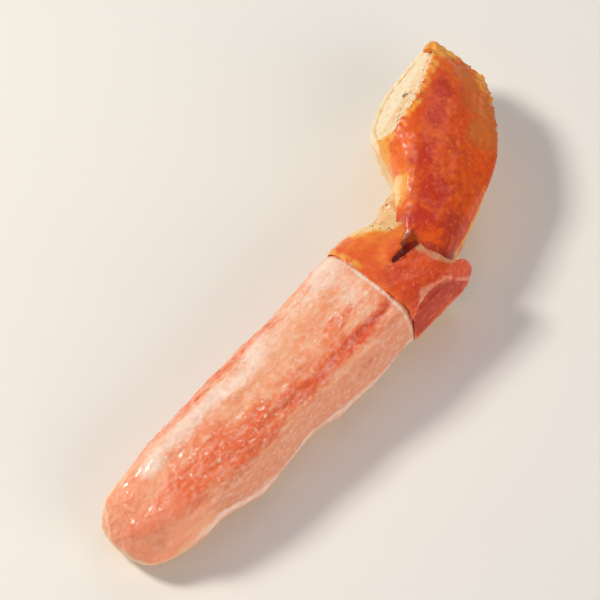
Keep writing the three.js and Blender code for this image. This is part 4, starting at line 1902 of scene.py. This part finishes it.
@dataclass
class JointSkin(Piece):
    """The soft skin that bridges the joint, folded in the bend."""

    name: str = "folded_joint_skin"
    node: str = "joint_skin"
    slot: str = "joint_skin"
    finish: Finish = SkinFinish()
    start: float = 63.0  # along the arm
    past_joint: float = 2.0
    neck: Limits = (-5.0, 6.0)  # from where to where on the wrist
    over_neck: float = 1.5  # how far it stands off the neck in the bend
    under_shell: float = 1.7  # how far it dips under the wrist's shell elsewhere
    lifted: float = 0.6  # how far it keeps off the shell below
    # the shares of its length on which it goes over from the arm to the wrist
    left_leaves: Limits = (0.4, 1.0)
    right_leaves: Limits = (0.4, 0.7)
    back_leaves: Limits = (0.1, 0.36)
    turns: Limits = (0.15, 1.0)
    crosses: Limits = (0.3, 0.95)
    folds: int = 4
    fold_height: float = 0.5
    steps: int = 16
    bench: Limits = (200.0, 10.0)  # where its rings are drawn out, and the step to the next
    wall: float = 0.8
    face_size: float = 0.3
    reliefs: tuple[Relief, ...] = (
        Relief(Growth.LUMPS, 2.4, 1.4, 0.55),
        Relief(Growth.LUMPS, 0.9, 0.9, 0.3, depth=1),
        Relief(Growth.GRAINS, 1.0, 1.0, 0.3),
    )

    def on_neck(self, share: float) -> float:
        """The place along the wrist that belongs to a share of the sleeve's length."""
        return self.neck[0] + share * (self.neck[1] - self.neck[0])

    def sections(self) -> list[Section]:
        """The sleeve's sections, laid out far beyond the arm so that each can be found.

        Returns:
            The sections in order.
        """
        made = []
        arm = between(ARM_SECTIONS, BAND_START + 4).grown(-0.05)
        for k in range(self.steps + 1):
            share = k / self.steps
            neck = between(WRIST_SECTIONS, self.on_neck(share))
            bent = ease(share, *self.left_leaves)
            dipped = ease(share, *self.right_leaves)
            sunk = ease(share, *self.back_leaves)
            fold = self.fold_height * share * math.sin(2 * math.pi * self.folds * share)
            made.append(
                Section(
                    at=self.bench[0] + self.bench[1] * k,
                    left=arm.left + (neck.left + self.over_neck - arm.left) * bent + fold,
                    right=arm.right + (neck.right - self.under_shell - arm.right) * dipped,
                    low=arm.low + (neck.low + self.lifted - arm.low) * dipped,
                    high=arm.high + (neck.high - self.under_shell - arm.high) * sunk,
                )
            )
        return made

    def shape(self) -> Object:
        """Draws the sleeve out straight, bends it ring by ring and folds it.

        Returns:
            The mesh, on the arm's own frame.
        """
        sections = self.sections()
        piece = Cage("skin", sections, around=32).build(closed=False)
        turn = Matrix.Rotation(math.radians(JOINT_BEND), 3, "Z")
        for k, section in enumerate(sections):
            share = k / self.steps
            along = self.start + share * (PIVOT.x / MM + self.past_joint - self.start)
            on_arm = Vector((along, 0.0, 0.0))
            on_wrist = PIVOT / MM + turn @ Vector((self.on_neck(share), 0.0, 0.0))
            there = on_arm.lerp(on_wrist, ease(share, *self.crosses))
            middle = section.middle
            choose(lambda p: abs(p.x - section.at * MM) < EPSILON)
            bend = -math.radians(JOINT_BEND) * ease(share, *self.turns)
            bpy.ops.transform.rotate(value=bend, orient_axis="Z", center_override=middle * MM)
            step = (there - Vector((middle.x, middle.y, 0.0))) * MM
            bpy.ops.transform.translate(value=step)
        face_outwards()
        close_mesh()
        give_wall(piece, self.wall)
        round_off(piece)
        knit(piece, self.face_size)
        soften(piece, 1)
        for relief in self.reliefs:
            relief.apply(piece)
        return piece

    def masks(self, piece: Object) -> dict[str, Shares]:
        """Marks the red on the back, where the skin lies in the split: painted shade there, which
        also matches the wrist shell's red behind the lobes.
        """
        points = places_of(piece)
        return {"shade": strip(arm_angles(points), 122.0, 46.0) * ease(points[:, 2], 8.0, 11.0)}


# ---- The studio ----


@dataclass(frozen=True)
class Lamp:
    """A soft light: where it stands seen from the camera, its size and its strength."""

    name: str
    right: float
    up: float
    near: float
    size: float
    power: float
    colour: tuple[float, float, float] = (1.0, 1.0, 1.0)
    mirrored: bool = True  # whether it shows as a highlight
    lights: bool = True  # whether it lights what it shines on


@dataclass(frozen=True)
class Studio:
    """A pale floor, soft lights and the camera, in metres."""

    azimuth: float = -52.0
    elevation: float = 52.0
    lens: float = 350.0
    sensor: float = 36.0
    view_height: float = 0.098  # what the camera sees
    target: tuple[float, float, float] = (0.0, 0.001, 0.008)
    lamp_distance: float = 0.6
    lamps: tuple[Lamp, ...] = (
        Lamp("key", -0.75, 0.6, 0.5, 0.14, 2.7, (1.0, 0.94, 0.84)),
        Lamp("glint", -0.8, 0.8, 0.3, 0.12, 1.5, (1.0, 0.98, 0.95), lights=False),
        Lamp("fill", 0.8, -0.35, 0.75, 0.5, 2.1, (1.0, 0.95, 0.9), mirrored=False),
        Lamp("back", 0.3, 1.0, 0.2, 0.3, 0.4, (0.98, 0.98, 1.0)),
    )
    sky: tuple[float, float, float, float] = (0.95, 0.96, 1.0, 1.0)
    sky_strength: float = 0.24
    floor_radius: float = 1.5
    floor_tones: tuple[Tone, Tone] = ((236, 233, 228), (242, 239, 235))

    def set_up(self) -> None:
        """Lays the floor and sets the lights, the sky and the camera."""
        turn, lift = math.radians(self.azimuth), math.radians(self.elevation)
        right = Vector((math.cos(turn), math.sin(turn), 0.0))
        level = Vector((math.sin(turn), -math.cos(turn), 0.0))
        back = level * math.cos(lift) + Vector((0.0, 0.0, math.sin(lift)))
        self.lay_floor()
        for lamp in self.lamps:
            self.hang(lamp, right * lamp.right + back.cross(right) * lamp.up + back * lamp.near)
        self.light_sky()
        self.set_camera(back)
        logging.info("studio: %d lights", len(self.lamps))

    def hang(self, lamp: Lamp, way: Vector) -> None:
        """Hangs one lamp.

        Args:
            lamp: the lamp.
            way: the way to it from the piece.
        """
        centre = Vector(self.target)
        place = centre + way.normalized() * self.lamp_distance
        clear_selection()
        bpy.ops.object.light_add(type="AREA", location=place)
        light = bpy.context.object
        light.name = lamp.name
        light.data.energy = lamp.power
        light.data.size = lamp.size
        light.data.color = lamp.colour
        light.visible_glossy = lamp.mirrored
        light.visible_diffuse = lamp.lights
        light.rotation_euler = (centre - place).to_track_quat("-Z", "Y").to_euler()

    def light_sky(self) -> None:
        """Lights the surroundings faintly."""
        world = bpy.data.worlds.new("studio")
        world.use_nodes = True
        ground = world.node_tree.nodes["Background"]
        ground.inputs["Color"].default_value = self.sky
        ground.inputs["Strength"].default_value = self.sky_strength
        bpy.context.scene.world = world
        bpy.context.scene.view_settings.view_transform = "Standard"

    def set_camera(self, back: Vector) -> None:
        """Sets the camera.

        Args:
            back: the way to it from the piece.
        """
        distance = self.view_height * self.lens / self.sensor
        bpy.ops.object.camera_add(location=Vector(self.target) + back * distance)
        camera = bpy.context.object
        camera.rotation_euler = back.to_track_quat("Z", "Y").to_euler()
        camera.data.lens = self.lens
        camera.data.sensor_width = self.sensor
        camera.data.clip_end = 10.0
        bpy.context.scene.camera = camera

    def lay_floor(self) -> None:
        """Lays a wide pale floor, faintly mottled."""
        clear_selection()
        bpy.ops.mesh.primitive_circle_add(vertices=96, radius=self.floor_radius, fill_type="NGON")
        floor = bpy.context.object
        floor.name = floor.data.name = "floor"
        recipe = Recipe("floor")
        mottled = recipe.mix(recipe.noise(60.0), *self.floor_tones)
        recipe.set(Base_Color=mottled, Roughness=0.7)
        floor.data.materials.append(recipe.material)


def main() -> None:
    """Builds the studio and every piece, in order."""
    logging.basicConfig(level=logging.INFO, format="%(message)s")
    Studio().set_up()
    for piece in (ArmMeat(), ShellBand(), JointSkin(), WristShell(), WristMeat()):
        piece.make()


if __name__ == "__main__":
    main()
